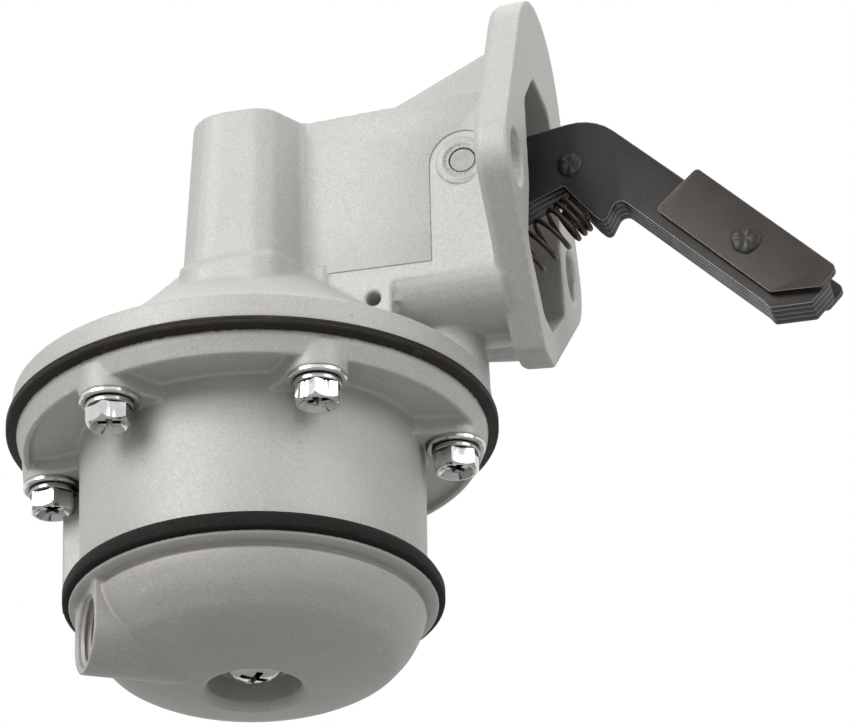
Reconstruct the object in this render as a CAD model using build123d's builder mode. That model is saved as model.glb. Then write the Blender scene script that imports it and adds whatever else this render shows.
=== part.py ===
from build123d import *
import os
from math import atan2, cos, radians, sin

os.makedirs("parts", exist_ok=True)

# Mechanical fuel pump. Sizes are in millimetres and +Z is up.
# The origin is midway between the two mounting bolt holes, on the face that meets the engine.
# +X points into the engine and the pump body hangs on the -X side.

# Driving dimensions: where the pump axis and the diaphragm joint lie
pump_x = -59.3
split_z = -37.4

# Driving dimensions: mounting flange
bolt_spacing = 50.8
bolt_hole_r = 5.3
flange_t = 6.6
flange_top = 46.2
flange_top_r = 21.0
flange_bottom = -30.7
flange_foot_half = 3.3
flange_foot_r = 2.2
ear_r = 9.8
flange_edge_r = 1.0

# Driving dimensions: mouth in the flange, where the rocker arm comes out
mouth_top = 27.6
mouth_shoulder = 17.9
mouth_hip = -13.1
mouth_bottom = -23.2
mouth_half = 16.2
mouth_low_half = 17.2
mouth_top_half = 7.0
mouth_bottom_half = 4.0
mouth_corner_r = 3.5
bolt_boss_r = 11.4

# Driving dimensions: rocker chamber box, heights above the diaphragm joint
box_wall = 3.0
box_half_at_tower = 13.9
box_half_at_flange = 17.3
box_edge_r = 8.0
box_back_x = 33.0
box_under_back = 13.8
box_under_front = 12.6
chamber_floor = 26.0
sump_start_x = 26.0
roof_start_x = 31.0
roof_half = 12.2
roof_rise = 12.0
rib_bottom = 9.6
rib_half = 1.6
weep_x = 28.5
weep_h = 16.3
weep_r = 1.35

# Driving dimensions: raised face on the near side of the box
panel_left = 15.0
panel_right = 40.2
panel_low = 23.0
panel_clear_r = 6.5
panel_t = 0.35

# Driving dimensions: tower over the pump axis
tower_left = -7.4
tower_crease = 9.3
tower_right = 15.6
tower_half = 22.5
tower_draft = 3.0
tower_corner_r = 6.0
tower_crease_r = 1.5
tower_edge_r = 1.2
tower_foot = 19.0

# Driving dimensions: round body
body_r = 47.3
diaphragm_proud = 0.2
diaphragm_t = 3.15
clamp_inner_r = 33.5
rim_h = 7.0
rim_edge_r = 46.9
rim_edge_h = 5.2
flank_mid_r = 34.2
flank_mid_h = 12.7
ring_r = 22.3
ring_h = 22.7
ring_top_r = 15.4
ring_top_h = 30.0
cavity_h = 17.5
cavity_top_r = 19.0
diaphragm_r = body_r + diaphragm_proud

# Driving dimensions: valve body
skirt_h = 4.3
skirt_t = 3.0
web_t = 2.6
wall_r = 33.8
wall_foot_r = 33.6
wall_t = 3.6
valve_body_bottom = -34.6
dish_floor = -12.5
floor_t = 3.5
dish_r = 31.5
dish_floor_r = 26.0
screw_circle_r = 39.8
screw_count = 6
screw_clock = 2.6
boss_r = 6.6
seat_h = 8.3
gallery_r = 5.8
gallery_depth = 6.0
post_r = 6.5

# Driving dimensions: fasteners
screw_r = 2.5
screw_af = 8.0
screw_head_h = 3.5
washer_r = 5.75
washer_t = 1.0
lock_r = 4.6
lock_t = 1.2
lock_gap = 1.0
screw_grip = 5.5
screw_pocket = 1.2

# Driving dimensions: cover
gasket_r = 35.9
gasket_t = 3.1
cover_rim_r = 35.2
cover_rim_h = 2.2
dome_r = 34.2
dome_bottom = -55.3
cover_wall = 3.0
recess_r = 8.9
recess_depth = 6.5
cover_post_r = 11.5
cover_screw_r = 3.0
cover_screw_head_r = 5.5
cover_screw_head_h = 3.2
cover_thread = 12.0
slot_reach = 3.2
slot_w = 1.3
slot_depth = 1.6

# Driving dimensions: ports
port_r = 6.6
port_depth = 11.0
port_drill_r = 4.3
inlet_angle = 210.5
inlet_reach = 33.0
inlet_h = -46.65
inlet_boss_r = 9.0
inlet_boss_inner = 13.0
inlet_well_at = 18.0
inlet_well_r = 5.0
outlet_angle = 165.0
outlet_reach = 37.2
outlet_h = -23.5
outlet_boss_r = 9.2

# Driving dimensions: rocker, link and pin, heights above the diaphragm joint
pivot_x = 46.7
pivot_h = 43.3
pin_r = 2.7
pin_boss_r = 4.9
pin_proud = 0.4
run_gap = 0.05
lamination_t = 1.85
lamination_count = 4
pad_t = 1.5
bush_r = 4.0
bush_room = 0.3
cheek_gap = 0.4
cheek_t = 1.6
tongue_half = 2.0
tongue_thick = 4.4
tongue_end_x = -4.0
web_left = 29.5
web_right = 38.0
heel_x = 33.5
heel_h = 47.0
web_gap = 0.35
link_headroom = 6.05
web_h = heel_h + web_gap
box_top = web_h + cheek_t + link_headroom + box_wall
heel_drop = 5.5
hub_r = 9.0

# Driving dimensions: side outline of the arm, as corners (x, height) and the radii that round them
arm_hump = (70.3, 56.5)
arm_hump_r = 10.5
arm_tip_high = (114.7, 14.0)
arm_tip_low = (110.8, 9.8)
arm_tip_back = (102.8, 9.8)
arm_under = (101.6, 11.4)
arm_neck = (74.45, 38.1)
arm_neck_r = 1.6
arm_lug = (71.6, 32.6)
arm_corner_r = 0.7
arm_belly = (58.6, 39.9)
horn_half = 2.4
horn_len = 4.0

# Driving dimensions: side outline of the wear pads
pad_heel = (82.0, 33.4)
pad_low = (103.2, 12.4)
pad_toe = (113.0, 12.2)
pad_tip = (116.4, 15.8)
pad_high = (90.4, 41.3)
pad_corner_r = 0.8

# Driving dimensions: rivets through the arm
arm_rivet_x = 65.2
arm_rivet_h = 46.5
arm_rivet_r = 1.8
arm_rivet_head_r = 2.5
pad_rivet_x = 99.2
pad_rivet_h = 24.3
pad_rivet_r = 2.2
pad_rivet_head_r = 3.0
rivet_head_h = 0.9

# Driving dimensions: rocker return spring
spring_wire_r = 0.5
spring_mean_r = 4.0
spring_turns = 9
spring_tilt = 37.5
spring_from_rivet = 1.5
spring_under_rivet = 8.1
spring_top_x = arm_rivet_x + spring_from_rivet
spring_top_h = arm_rivet_h - spring_under_rivet
spring_len = 27.0

# Driving dimensions: diaphragm stack and pull rod
rod_r = 3.0
plate_r = 22.0
plate_t = 1.2
membrane_t = 1.6
stack_drop = 4.0
rod_head_x = 6.0
rod_head_y = 10.0
rod_window_y = 5.0
tongue_gap = 0.6
tongue_slack = 0.8
rod_head_wall = 2.2
rivet_end_r = 4.5
rivet_end_h = 1.4
seal_r = 8.0
seal_h = 4.2
seal_cap_t = 0.8
seal_cap_r = 16.5
main_wire_r = 0.9
main_spring_r = 14.0
main_turns = 4

# Driving dimensions: check valves
valve_at = 14.5
valve_r = 8.0
valve_seat_t = 3.0
valve_bore_r = 4.6
disc_r = 6.2
disc_t = 1.2
valve_spring_room = 4.0
cage_wall = 0.8
cage_hole_r = 1.5
valve_wire_r = 0.3
valve_spring_r = 2.2
valve_turns = 3
fit_gap = 0.02

# Planes of the round body: heights count from the diaphragm joint, along the pump axis
pump_axis = Axis((pump_x, 0, split_z), (0, 0, 1))
side = Plane(origin=(pump_x, 0, split_z), x_dir=(1, 0, 0), z_dir=(0, -1, 0))
flange_x = -pump_x


def level(h):
    """Level plane at height h above the diaphragm joint, centred on the pump axis."""
    return Plane(origin=(pump_x, 0, split_z + h))


def polar(radius, angle, h=0.0):
    """Point at a radius and angle round the pump axis."""
    x = pump_x + radius * cos(radians(angle))
    y = radius * sin(radians(angle))
    return (x, y, split_z + h)


def radial_plane(angle, reach, h):
    """Plane square to a radial line, facing outwards, at a reach from the pump axis."""
    a = radians(angle)
    return Plane(origin=polar(reach, angle, h), x_dir=(-sin(a), cos(a), 0), z_dir=(cos(a), sin(a), 0))


# Upper housing: one die casting with the flange, rocker chamber, tower and bell
flange_back = flange_x - flange_t
box_under_edge = box_under_back + box_edge_r
roof_top = box_top + roof_rise

with BuildPart() as upper_housing:
    # bell: rim, concave flank and the ring below the tower
    with BuildSketch(side) as bell:
        with BuildLine():
            Line((0, 0), (body_r, 0))
            Line((body_r, 0), (rim_edge_r, rim_edge_h))
            ThreePointArc((rim_edge_r, rim_edge_h), (flank_mid_r, flank_mid_h), (ring_r, ring_h))
            Line((ring_r, ring_h), (ring_top_r, ring_top_h))
            Line((ring_top_r, ring_top_h), (0, ring_top_h))
            Line((0, ring_top_h), (0, 0))
        make_face()
    revolve(axis=pump_axis)

    # tower with drafted walls
    with BuildSketch(level(box_top)) as tower_plan:
        half_there = box_half_at_tower
        Polygon(
            (tower_left, -tower_half),
            (tower_crease, -tower_half),
            (tower_right, -half_there),
            (tower_right, half_there),
            (tower_crease, tower_half),
            (tower_left, tower_half),
            align=None,
        )
        corners = tower_plan.vertices().group_by(Axis.X)[0]
        fillet(corners, tower_corner_r)
        creases = [
            v for v in tower_plan.vertices() if abs(v.X - pump_x - tower_crease) < 0.1
        ]
        fillet(creases, tower_crease_r)
    extrude(amount=-(box_top - tower_foot), taper=-tower_draft)
    fillet(upper_housing.faces().sort_by(Axis.Z)[-1].edges(), tower_edge_r)

    # rocker chamber box, wider and deeper towards the flange
    slope = (box_half_at_flange - box_half_at_tower) / (flange_back - tower_right)
    root_half = box_half_at_tower - slope * tower_right
    with BuildPart(mode=Mode.PRIVATE) as chamber_box:
        with BuildSketch(level(0)):
            Polygon(
                (0, -root_half),
                (flange_back + 1, -(box_half_at_flange + slope)),
                (flange_back + 1, box_half_at_flange + slope),
                (0, root_half),
                align=None,
            )
        extrude(amount=box_top)
        with BuildSketch(side) as box_side:
            Polygon(
                (0, rim_h - 2),
                (box_back_x, rim_h - 2),
                (box_back_x, box_under_back),
                (flange_back + 1, box_under_front),
                (flange_back + 1, box_top),
                (0, box_top),
                align=None,
            )
        extrude(amount=40, both=True, mode=Mode.INTERSECT)
        under = [
            e
            for e in chamber_box.edges().filter_by(Axis.X, tolerance=12)
            if e.center().Z - split_z < box_under_edge and e.center().X - pump_x > box_back_x
        ]
        fillet(under, box_edge_r)
    add(chamber_box.part)

    # sloping roof from the box up to the flange, narrower than the box
    with BuildSketch(side):
        Polygon(
            (roof_start_x, box_top - 2),
            (roof_start_x, box_top),
            (flange_back + 1, roof_top + 0.5),
            (flange_back + 1, box_top - 2),
            align=None,
        )
    extrude(amount=roof_half, both=True)

    # pillar over the screw nearest the flange, and the rib from it to the flange
    with BuildSketch(level(2)):
        with Locations((screw_circle_r, 0)):
            Circle(boss_r + 0.9)
    extrude(amount=box_under_back + 4, taper=1.5)
    with BuildSketch(side):
        Polygon(
            (screw_circle_r, rib_bottom),
            (flange_back + 1, rib_bottom),
            (flange_back + 1, box_under_back + 2),
            (screw_circle_r, box_under_back + 2),
            align=None,
        )
    extrude(amount=rib_half, both=True)

    # mounting flange, a tall rounded kite with an ear round each bolt hole
    with BuildPart(mode=Mode.PRIVATE) as flange:
        with BuildSketch(Plane.YZ):
            crown = Circle(flange_top_r, mode=Mode.PRIVATE).edge()
            ring_edges = [crown.moved(Location((0, flange_top - flange_top_r, 0)))]
            for sign in (-1, 1):
                ear = Circle(ear_r, mode=Mode.PRIVATE).edge()
                ring_edges.append(ear.moved(Location((sign * bolt_spacing / 2, 0, 0))))
                foot = Circle(flange_foot_r, mode=Mode.PRIVATE).edge()
                foot_at = (sign * flange_foot_half, flange_bottom + flange_foot_r, 0)
                ring_edges.append(foot.moved(Location(foot_at)))
            make_hull(ring_edges)
        extrude(amount=-flange_t)
        fillet(flange.faces().sort_by(Axis.X)[0].edges(), flange_edge_r)
    add(flange.part)

    # spring cavity under the bell
    with BuildSketch(side):
        with BuildLine():
            Polyline(
                (0, 0),
                (clamp_inner_r, 0),
                (clamp_inner_r - 1.5, 6.0),
                (cavity_top_r, cavity_h),
                (0, cavity_h),
                close=True,
            )
        make_face()
    revolve(axis=pump_axis, mode=Mode.SUBTRACT)

    # rocker chamber, cored from the flange side
    with BuildPart(mode=Mode.PRIVATE) as chamber:
        with BuildSketch(level(0)):
            Polygon(
                (tower_left + box_wall, -(root_half - box_wall)),
                (flange_back, -(box_half_at_flange - box_wall)),
                (flange_back, box_half_at_flange - box_wall),
                (tower_left + box_wall, root_half - box_wall),
                align=None,
            )
        extrude(amount=roof_top)
        with BuildSketch(side):
            Polygon(
                (tower_left + box_wall, chamber_floor),
                (sump_start_x, chamber_floor),
                (box_back_x + 4, box_under_back + box_wall + 0.8),
                (flange_back, box_under_front + box_wall),
                (flange_back, box_top - box_wall),
                (tower_left + box_wall, box_top - box_wall),
                align=None,
            )
        extrude(amount=40, both=True, mode=Mode.INTERSECT)
        deep = [
            e
            for e in chamber.edges()
            if e.center().Z - split_z < chamber_floor - 1 and abs(e.tangent_at(0.5).X) > 0.5
        ]
        fillet(deep, box_edge_r - box_wall)
    add(chamber.part, mode=Mode.SUBTRACT)

    # tower cored out beside the chamber
    with BuildSketch(level(chamber_floor)):
        Polygon(
            (tower_left + box_wall, -(tower_half - box_wall)),
            (tower_crease - 1.2, -(tower_half - box_wall)),
            (tower_right - box_wall, -(root_half + 2)),
            (tower_right - box_wall, root_half + 2),
            (tower_crease - 1.2, tower_half - box_wall),
            (tower_left + box_wall, tower_half - box_wall),
            align=None,
        )
    extrude(amount=box_top - box_wall - chamber_floor, mode=Mode.SUBTRACT)

    # hollow of the sloping roof
    with BuildSketch(side):
        Polygon(
            (roof_start_x + 6, box_top - box_wall - 1),
            (roof_start_x + 6, box_top - 0.5),
            (flange_back, roof_top - box_wall),
            (flange_back, box_top - box_wall - 1),
            align=None,
        )
    extrude(amount=roof_half - box_wall, both=True, mode=Mode.SUBTRACT)

    # mouth through the flange, drawn in beside each bolt hole
    with BuildSketch(Plane.YZ) as mouth:
        Polygon(
            (-mouth_top_half, mouth_top),
            (mouth_top_half, mouth_top),
            (mouth_half, mouth_shoulder),
            (mouth_low_half, mouth_hip),
            (mouth_bottom_half, mouth_bottom),
            (-mouth_bottom_half, mouth_bottom),
            (-mouth_low_half, mouth_hip),
            (-mouth_half, mouth_shoulder),
            align=None,
        )
        fillet(mouth.vertices(), mouth_corner_r)
        with Locations((-bolt_spacing / 2, 0), (bolt_spacing / 2, 0)):
            Circle(bolt_boss_r, mode=Mode.SUBTRACT)
    extrude(amount=-flange_t, mode=Mode.SUBTRACT)

    # bolt holes
    with Locations(Plane.YZ):
        with Locations((-bolt_spacing / 2, 0), (bolt_spacing / 2, 0)):
            Hole(bolt_hole_r, depth=flange_t)

    # bosses for the pivot pin, outside and inside the chamber walls
    pin_half = box_half_at_tower + slope * (pivot_x - tower_right)
    cheek_outer = lamination_count * lamination_t / 2 + cheek_gap + cheek_t
    pin_boss_inner = cheek_outer + cheek_gap
    for sign in (-1, 1):
        boss_plane = Plane(
            origin=(pump_x + pivot_x, sign * pin_boss_inner, split_z + pivot_h),
            x_dir=(1, 0, 0),
            z_dir=(0, sign, 0),
        )
        with BuildSketch(boss_plane):
            Circle(pin_boss_r)
        extrude(amount=pin_half + pin_proud - pin_boss_inner)
    with BuildSketch(side):
        with Locations((pivot_x, pivot_h)):
            Circle(pin_r + fit_gap)
    extrude(amount=pin_half + 2, both=True, mode=Mode.SUBTRACT)

    # seat for the rocker return spring, square to the spring
    spring_dir = (cos(radians(spring_tilt)), 0, sin(radians(spring_tilt)))
    seat_x = spring_top_x - spring_len * spring_dir[0]
    seat_z = spring_top_h - spring_len * spring_dir[2]
    seat_plane = Plane(
        origin=(pump_x + seat_x, 0, split_z + seat_z), x_dir=(0, 1, 0), z_dir=spring_dir
    )
    with BuildSketch(seat_plane):
        Circle(spring_mean_r + 1.2)
    extrude(amount=-6.5)
    with BuildSketch(seat_plane):
        Circle(spring_mean_r - spring_wire_r - 0.3)
    extrude(amount=3.0, taper=8)

    # bore and pocket for the pull rod and its seal
    with BuildSketch(level(cavity_h)):
        Circle(seal_r + fit_gap)
    extrude(amount=seal_h, mode=Mode.SUBTRACT)
    with BuildSketch(level(cavity_h)):
        Circle(rod_r + 0.4)
    extrude(amount=chamber_floor - cavity_h + 1, mode=Mode.SUBTRACT)

    # weep hole from the spring cavity, through the near wall
    with BuildSketch(side):
        with Locations((weep_x, weep_h)):
            Circle(weep_r)
    extrude(amount=30, mode=Mode.SUBTRACT)

    # raised face on the near side of the box, cut away round the pin and below it
    face_turn = atan2(slope, 1)
    panel_plane = Plane(
        origin=(pump_x, -root_half, split_z),
        x_dir=(cos(face_turn), -sin(face_turn), 0),
        z_dir=(-sin(face_turn), -cos(face_turn), 0),
    )
    with BuildSketch(panel_plane):
        Polygon(
            (panel_left, panel_low),
            (panel_right, panel_low),
            (panel_right, pivot_h),
            (flange_back + 0.5, pivot_h),
            (flange_back + 0.5, box_top),
            (panel_left, box_top),
            align=None,
        )
        with Locations((pivot_x, pivot_h)):
            Circle(panel_clear_r, mode=Mode.SUBTRACT)
    extrude(amount=panel_t)

    # tapped holes for the flange screws
    with BuildSketch(level(0)):
        with PolarLocations(screw_circle_r, screw_count, start_angle=screw_clock):
            Circle(screw_r)
    extrude(amount=screw_grip + screw_pocket, mode=Mode.SUBTRACT)


# Valve body: the lower casting with the pump chamber floor, valve pockets and outlet port
clamp_h = -diaphragm_t
skirt_bottom = clamp_h - skirt_h
web_bottom = clamp_h - web_t
floor_bottom = dish_floor - floor_t
bowl_r = wall_foot_r - wall_t
cage_h = disc_t + valve_spring_room + cage_wall
valve_pocket = valve_seat_t + cage_h
pocket_bottom = dish_floor - valve_pocket
valve_boss_r = valve_r + 2.5

with BuildPart() as valve_body:
    with BuildSketch(side):
        with BuildLine():
            Polyline(
                (0, dish_floor),
                (dish_floor_r, dish_floor),
                (dish_r, clamp_h - 3.4),
                (clamp_inner_r, clamp_h),
                (body_r, clamp_h),
                (body_r - 0.5, skirt_bottom),
                (body_r - 0.5 - skirt_t, skirt_bottom),
                (body_r - 0.8 - skirt_t, web_bottom),
                (wall_r, web_bottom),
                (wall_foot_r, valve_body_bottom),
                (bowl_r, valve_body_bottom),
                (bowl_r - 0.4, floor_bottom),
                (0, floor_bottom),
                close=True,
            )
        make_face()
    revolve(axis=pump_axis)

    # screw bosses, from the wall out to the rim
    with BuildPart(mode=Mode.PRIVATE) as boss_ring:
        with BuildSketch(level(web_bottom + 0.5)):
            with PolarLocations(0.001, screw_count, start_angle=screw_clock):
                with Locations((screw_circle_r, 0)):
                    Circle(boss_r)
                with Locations(((screw_circle_r + wall_r - 3) / 2, 0)):
                    Rectangle(screw_circle_r - wall_r + 3, 2 * boss_r)
        extrude(amount=-(seat_h + web_bottom + 0.5))
        with BuildSketch(level(web_bottom + 0.5)):
            Circle(body_r - 0.6)
        extrude(amount=-12, mode=Mode.INTERSECT)
    add(boss_ring.part)

    # boss round the inlet valve, block round the outlet valve and its gallery, and the post
    with BuildSketch(level(floor_bottom + 1)):
        with Locations((valve_at, 0)):
            Circle(valve_boss_r)
    extrude(amount=-(floor_bottom + 1 - pocket_bottom + 2.5))
    with BuildSketch(level(floor_bottom + 1)):
        with Locations((-valve_at, 0)):
            Circle(valve_boss_r)
    extrude(amount=-(floor_bottom + 1 - pocket_bottom + gallery_depth + 3.0))
    with BuildSketch(level(floor_bottom + 1)):
        Circle(post_r)
    extrude(amount=-(floor_bottom + 1 - valve_body_bottom))

    # outlet port boss, carried in to the gallery block
    with BuildSketch(radial_plane(outlet_angle, valve_at, outlet_h)):
        Circle(outlet_boss_r)
    extrude(amount=outlet_reach - valve_at)

    # inlet pocket and bore, then outlet pocket and gallery
    with BuildSketch(level(dish_floor)):
        with Locations((valve_at, 0), (-valve_at, 0)):
            Circle(valve_r + fit_gap)
    extrude(amount=-valve_pocket, mode=Mode.SUBTRACT)
    with BuildSketch(level(pocket_bottom)):
        with Locations((valve_at, 0)):
            Circle(valve_bore_r + 0.6)
    extrude(amount=-5, mode=Mode.SUBTRACT)
    with BuildSketch(level(pocket_bottom)):
        with Locations((-valve_at, 0)):
            Circle(gallery_r)
    extrude(amount=-gallery_depth, mode=Mode.SUBTRACT)

    # outlet port: threaded bore and the drilling to the gallery
    with BuildSketch(radial_plane(outlet_angle, outlet_reach, outlet_h)):
        Circle(port_r)
    extrude(amount=-port_depth, mode=Mode.SUBTRACT)
    with BuildSketch(radial_plane(outlet_angle, outlet_reach, outlet_h)):
        Circle(port_drill_r)
    extrude(amount=-(outlet_reach - valve_at), mode=Mode.SUBTRACT)

    # clearance holes for the flange screws and the tapped hole for the cover screw
    with BuildSketch(level(clamp_h)):
        with PolarLocations(screw_circle_r, screw_count, start_angle=screw_clock):
            Circle(screw_r + 0.2)
    extrude(amount=-(seat_h + clamp_h), mode=Mode.SUBTRACT)
    with BuildSketch(level(valve_body_bottom)):
        Circle(cover_screw_r)
    extrude(amount=cover_thread, mode=Mode.SUBTRACT)

# Cover: the domed lower casting with the inlet port
cover_top = valve_body_bottom - gasket_t
rim_bottom = cover_top - cover_rim_h
recess_floor = dome_bottom + recess_depth
recess_roof = recess_floor + cover_wall

with BuildPart() as inlet_cover:
    with BuildSketch(side):
        with BuildLine():
            Line((cover_rim_r, rim_bottom), (cover_rim_r, cover_top))
            Line((cover_rim_r, cover_top), (bowl_r, cover_top))
            Line((bowl_r, cover_top), (bowl_r, rim_bottom - 2.0))
            Spline(
                (bowl_r, rim_bottom - 2.0),
                (bowl_r - 2.6, rim_bottom - 5.0),
                (bowl_r - 7.0, rim_bottom - 7.7),
                (cover_post_r, dome_bottom + 4.2),
            )
            Line((cover_post_r, dome_bottom + 4.2), (cover_post_r, recess_roof))
            Line((cover_post_r, recess_roof), (0, recess_roof))
            Line((0, recess_roof), (0, recess_floor))
            Line((0, recess_floor), (recess_r, recess_floor))
            Line((recess_r, recess_floor), (recess_r, dome_bottom + 1.4))
            ThreePointArc(
                (recess_r, dome_bottom + 1.4),
                (recess_r + 0.5, dome_bottom + 0.4),
                (recess_r + 1.6, dome_bottom),
            )
            Spline(
                (recess_r + 1.6, dome_bottom),
                (15.4, dome_bottom + 0.9),
                (20.8, dome_bottom + 2.7),
                (25.7, dome_bottom + 5.0),
                (29.7, dome_bottom + 7.5),
                (32.7, dome_bottom + 10.4),
                (dome_r, dome_bottom + 13.3),
                (dome_r, rim_bottom),
            )
            Line((dome_r, rim_bottom), (cover_rim_r, rim_bottom))
        make_face()
    revolve(axis=pump_axis)

    # inlet port boss, flat topped where it runs into the rim
    inlet_len = inlet_reach - inlet_boss_inner
    with BuildSketch(radial_plane(inlet_angle, inlet_reach, inlet_h)):
        Circle(inlet_boss_r)
        boss_room = cover_top - 1.2 - inlet_h
        with Locations((0, boss_room / 2)):
            Rectangle(2 * inlet_boss_r, boss_room)
        with Locations((0, boss_room + inlet_boss_r)):
            Rectangle(4 * inlet_boss_r, 2 * inlet_boss_r, mode=Mode.SUBTRACT)
    extrude(amount=-inlet_len)

    # flat face of the boss, cleared of the dome up to the rim
    face_room = rim_bottom - inlet_h
    with BuildSketch(radial_plane(inlet_angle, inlet_reach, inlet_h)):
        Circle(inlet_boss_r)
        with Locations((0, face_room / 2)):
            Rectangle(2 * inlet_boss_r, face_room)
        with Locations((0, face_room + inlet_boss_r)):
            Rectangle(4 * inlet_boss_r, 2 * inlet_boss_r, mode=Mode.SUBTRACT)
    extrude(amount=cover_rim_r - inlet_reach, mode=Mode.SUBTRACT)

    # threaded port, and the drilling and well that lead from it
    with BuildSketch(radial_plane(inlet_angle, inlet_reach, inlet_h)):
        Circle(port_r)
    extrude(amount=-port_depth, mode=Mode.SUBTRACT)
    with BuildSketch(radial_plane(inlet_angle, inlet_reach, inlet_h)):
        Circle(port_drill_r)
    extrude(amount=-(inlet_reach - inlet_well_at), mode=Mode.SUBTRACT)
    with BuildSketch(Plane(origin=polar(inlet_well_at, inlet_angle, cover_top))):
        Circle(inlet_well_r)
    extrude(amount=-(cover_top - inlet_h), mode=Mode.SUBTRACT)

    # clearance hole for the cover screw
    with BuildSketch(level(recess_roof)):
        Circle(cover_screw_r + 0.3)
    extrude(amount=-cover_wall, mode=Mode.SUBTRACT)

with BuildPart() as cover_gasket:
    with BuildSketch(level(valve_body_bottom)):
        Circle(gasket_r)
        Circle(bowl_r, mode=Mode.SUBTRACT)
    extrude(amount=-gasket_t)

# Diaphragm with its two plates, held on the pull rod
mid_h = clamp_h / 2
disc_mid = mid_h - stack_drop
disc_top = disc_mid + membrane_t / 2
disc_low = disc_mid - membrane_t / 2
upper_top = disc_top + plate_t
lower_low = disc_low - plate_t
half_m = membrane_t / 2

with BuildPart() as diaphragm:
    with BuildSketch(side):
        Polygon(
            (rod_r + fit_gap, disc_top),
            (plate_r + 1.2, disc_top),
            (clamp_inner_r - 2.4, mid_h + half_m - 1.2),
            (clamp_inner_r, mid_h + half_m),
            (clamp_inner_r, 0),
            (diaphragm_r, 0),
            (diaphragm_r, clamp_h),
            (clamp_inner_r, clamp_h),
            (clamp_inner_r, mid_h - half_m),
            (clamp_inner_r - 2.4, mid_h - half_m - 1.2),
            (plate_r + 1.2, disc_low),
            (rod_r + fit_gap, disc_low),
            align=None,
        )
    revolve(axis=pump_axis)
    with BuildSketch(level(0)):
        with PolarLocations(screw_circle_r, screw_count, start_angle=screw_clock):
            Circle(screw_r + 0.1)
    extrude(amount=clamp_h, mode=Mode.SUBTRACT)

with BuildPart() as diaphragm_upper_plate:
    with BuildSketch(side):
        Polygon(
            (rod_r + fit_gap, disc_top),
            (plate_r, disc_top),
            (plate_r, disc_top + plate_t + 1.0),
            (plate_r - plate_t, disc_top + plate_t + 1.0),
            (plate_r - plate_t, upper_top),
            (rod_r + fit_gap, upper_top),
            align=None,
        )
    revolve(axis=pump_axis)

with BuildPart() as diaphragm_lower_plate:
    with BuildSketch(side):
        Polygon(
            (rod_r + fit_gap, disc_low),
            (plate_r, disc_low),
            (plate_r, lower_low - 1.0),
            (plate_r - plate_t, lower_low - 1.0),
            (plate_r - plate_t, lower_low),
            (rod_r + fit_gap, lower_low),
            align=None,
        )
    revolve(axis=pump_axis)

window_low = pivot_h - tongue_thick / 2 - tongue_slack
window_top = pivot_h + tongue_thick / 2 + tongue_gap
head_low = window_low - rod_head_wall
head_top = window_top + rod_head_wall

with BuildPart() as pull_rod:
    with BuildSketch(level(lower_low)):
        Circle(rod_r)
    extrude(amount=head_low + 1 - lower_low)
    with BuildSketch(level(lower_low)):
        Circle(rivet_end_r)
    extrude(amount=-rivet_end_h, taper=20)
    with BuildSketch(level(upper_top)):
        Circle(rod_r + 1.2)
    extrude(amount=1.5)
    with BuildSketch(level(head_low)):
        Rectangle(rod_head_x, rod_head_y)
    extrude(amount=head_top - head_low)
    with BuildSketch(level(window_low)):
        Rectangle(rod_head_x + 1, rod_window_y)
    extrude(amount=window_top - window_low, mode=Mode.SUBTRACT)

# Oil seal and the retainer that the main spring holds under it
with BuildPart() as oil_seal:
    with BuildSketch(level(cavity_h)):
        Circle(seal_r)
        Circle(rod_r + run_gap, mode=Mode.SUBTRACT)
    extrude(amount=seal_h)

with BuildPart() as seal_retainer:
    with BuildSketch(level(cavity_h)):
        Circle(seal_cap_r)
        Circle(rod_r + 0.6, mode=Mode.SUBTRACT)
    extrude(amount=-seal_cap_t)

# Main spring, between the upper plate and the seal retainer
main_low = upper_top + main_wire_r
main_high = cavity_h - seal_cap_t - main_wire_r
with BuildPart() as diaphragm_spring:
    with BuildLine(level(main_low)):
        main_path = Helix((main_high - main_low) / main_turns, main_high - main_low, main_spring_r)
    with BuildSketch(Plane(origin=main_path @ 0, z_dir=main_path % 0)):
        Circle(main_wire_r)
    sweep(path=main_path, is_frenet=True)

# Check valves: the outlet one is the inlet one turned over
seat_low = pocket_bottom
seat_top = seat_low + valve_seat_t
spring_low = seat_top + disc_t
out_seat_top = dish_floor
out_seat_low = out_seat_top - valve_seat_t

with BuildPart() as inlet_valve_seat:
    with BuildSketch(level(seat_low)):
        with Locations((valve_at, 0)):
            Circle(valve_r)
            Circle(valve_bore_r, mode=Mode.SUBTRACT)
    extrude(amount=valve_seat_t)

with BuildPart() as inlet_valve_disc:
    with BuildSketch(level(seat_top)):
        with Locations((valve_at, 0)):
            Circle(disc_r)
    extrude(amount=disc_t)

with BuildPart() as inlet_valve_cage:
    with BuildSketch(level(seat_top)):
        with Locations((valve_at, 0)):
            Circle(valve_r)
    extrude(amount=cage_h)
    with BuildSketch(level(seat_top)):
        with Locations((valve_at, 0)):
            Circle(valve_r - cage_wall)
    extrude(amount=cage_h - cage_wall, mode=Mode.SUBTRACT)
    with BuildSketch(level(seat_top + cage_h)):
        with Locations((valve_at, 0)):
            with PolarLocations(valve_r - cage_wall - cage_hole_r - 0.6, 6):
                Circle(cage_hole_r)
    extrude(amount=-cage_wall, mode=Mode.SUBTRACT)

valve_pitch = (valve_spring_room - 2 * valve_wire_r) / valve_turns
with BuildPart() as inlet_valve_spring:
    with BuildLine(Plane(origin=(pump_x + valve_at, 0, split_z + spring_low + valve_wire_r))):
        in_path = Helix(valve_pitch, valve_spring_room - 2 * valve_wire_r, valve_spring_r)
    with BuildSketch(Plane(origin=in_path @ 0, z_dir=in_path % 0)):
        Circle(valve_wire_r)
    sweep(path=in_path, is_frenet=True)

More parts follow.
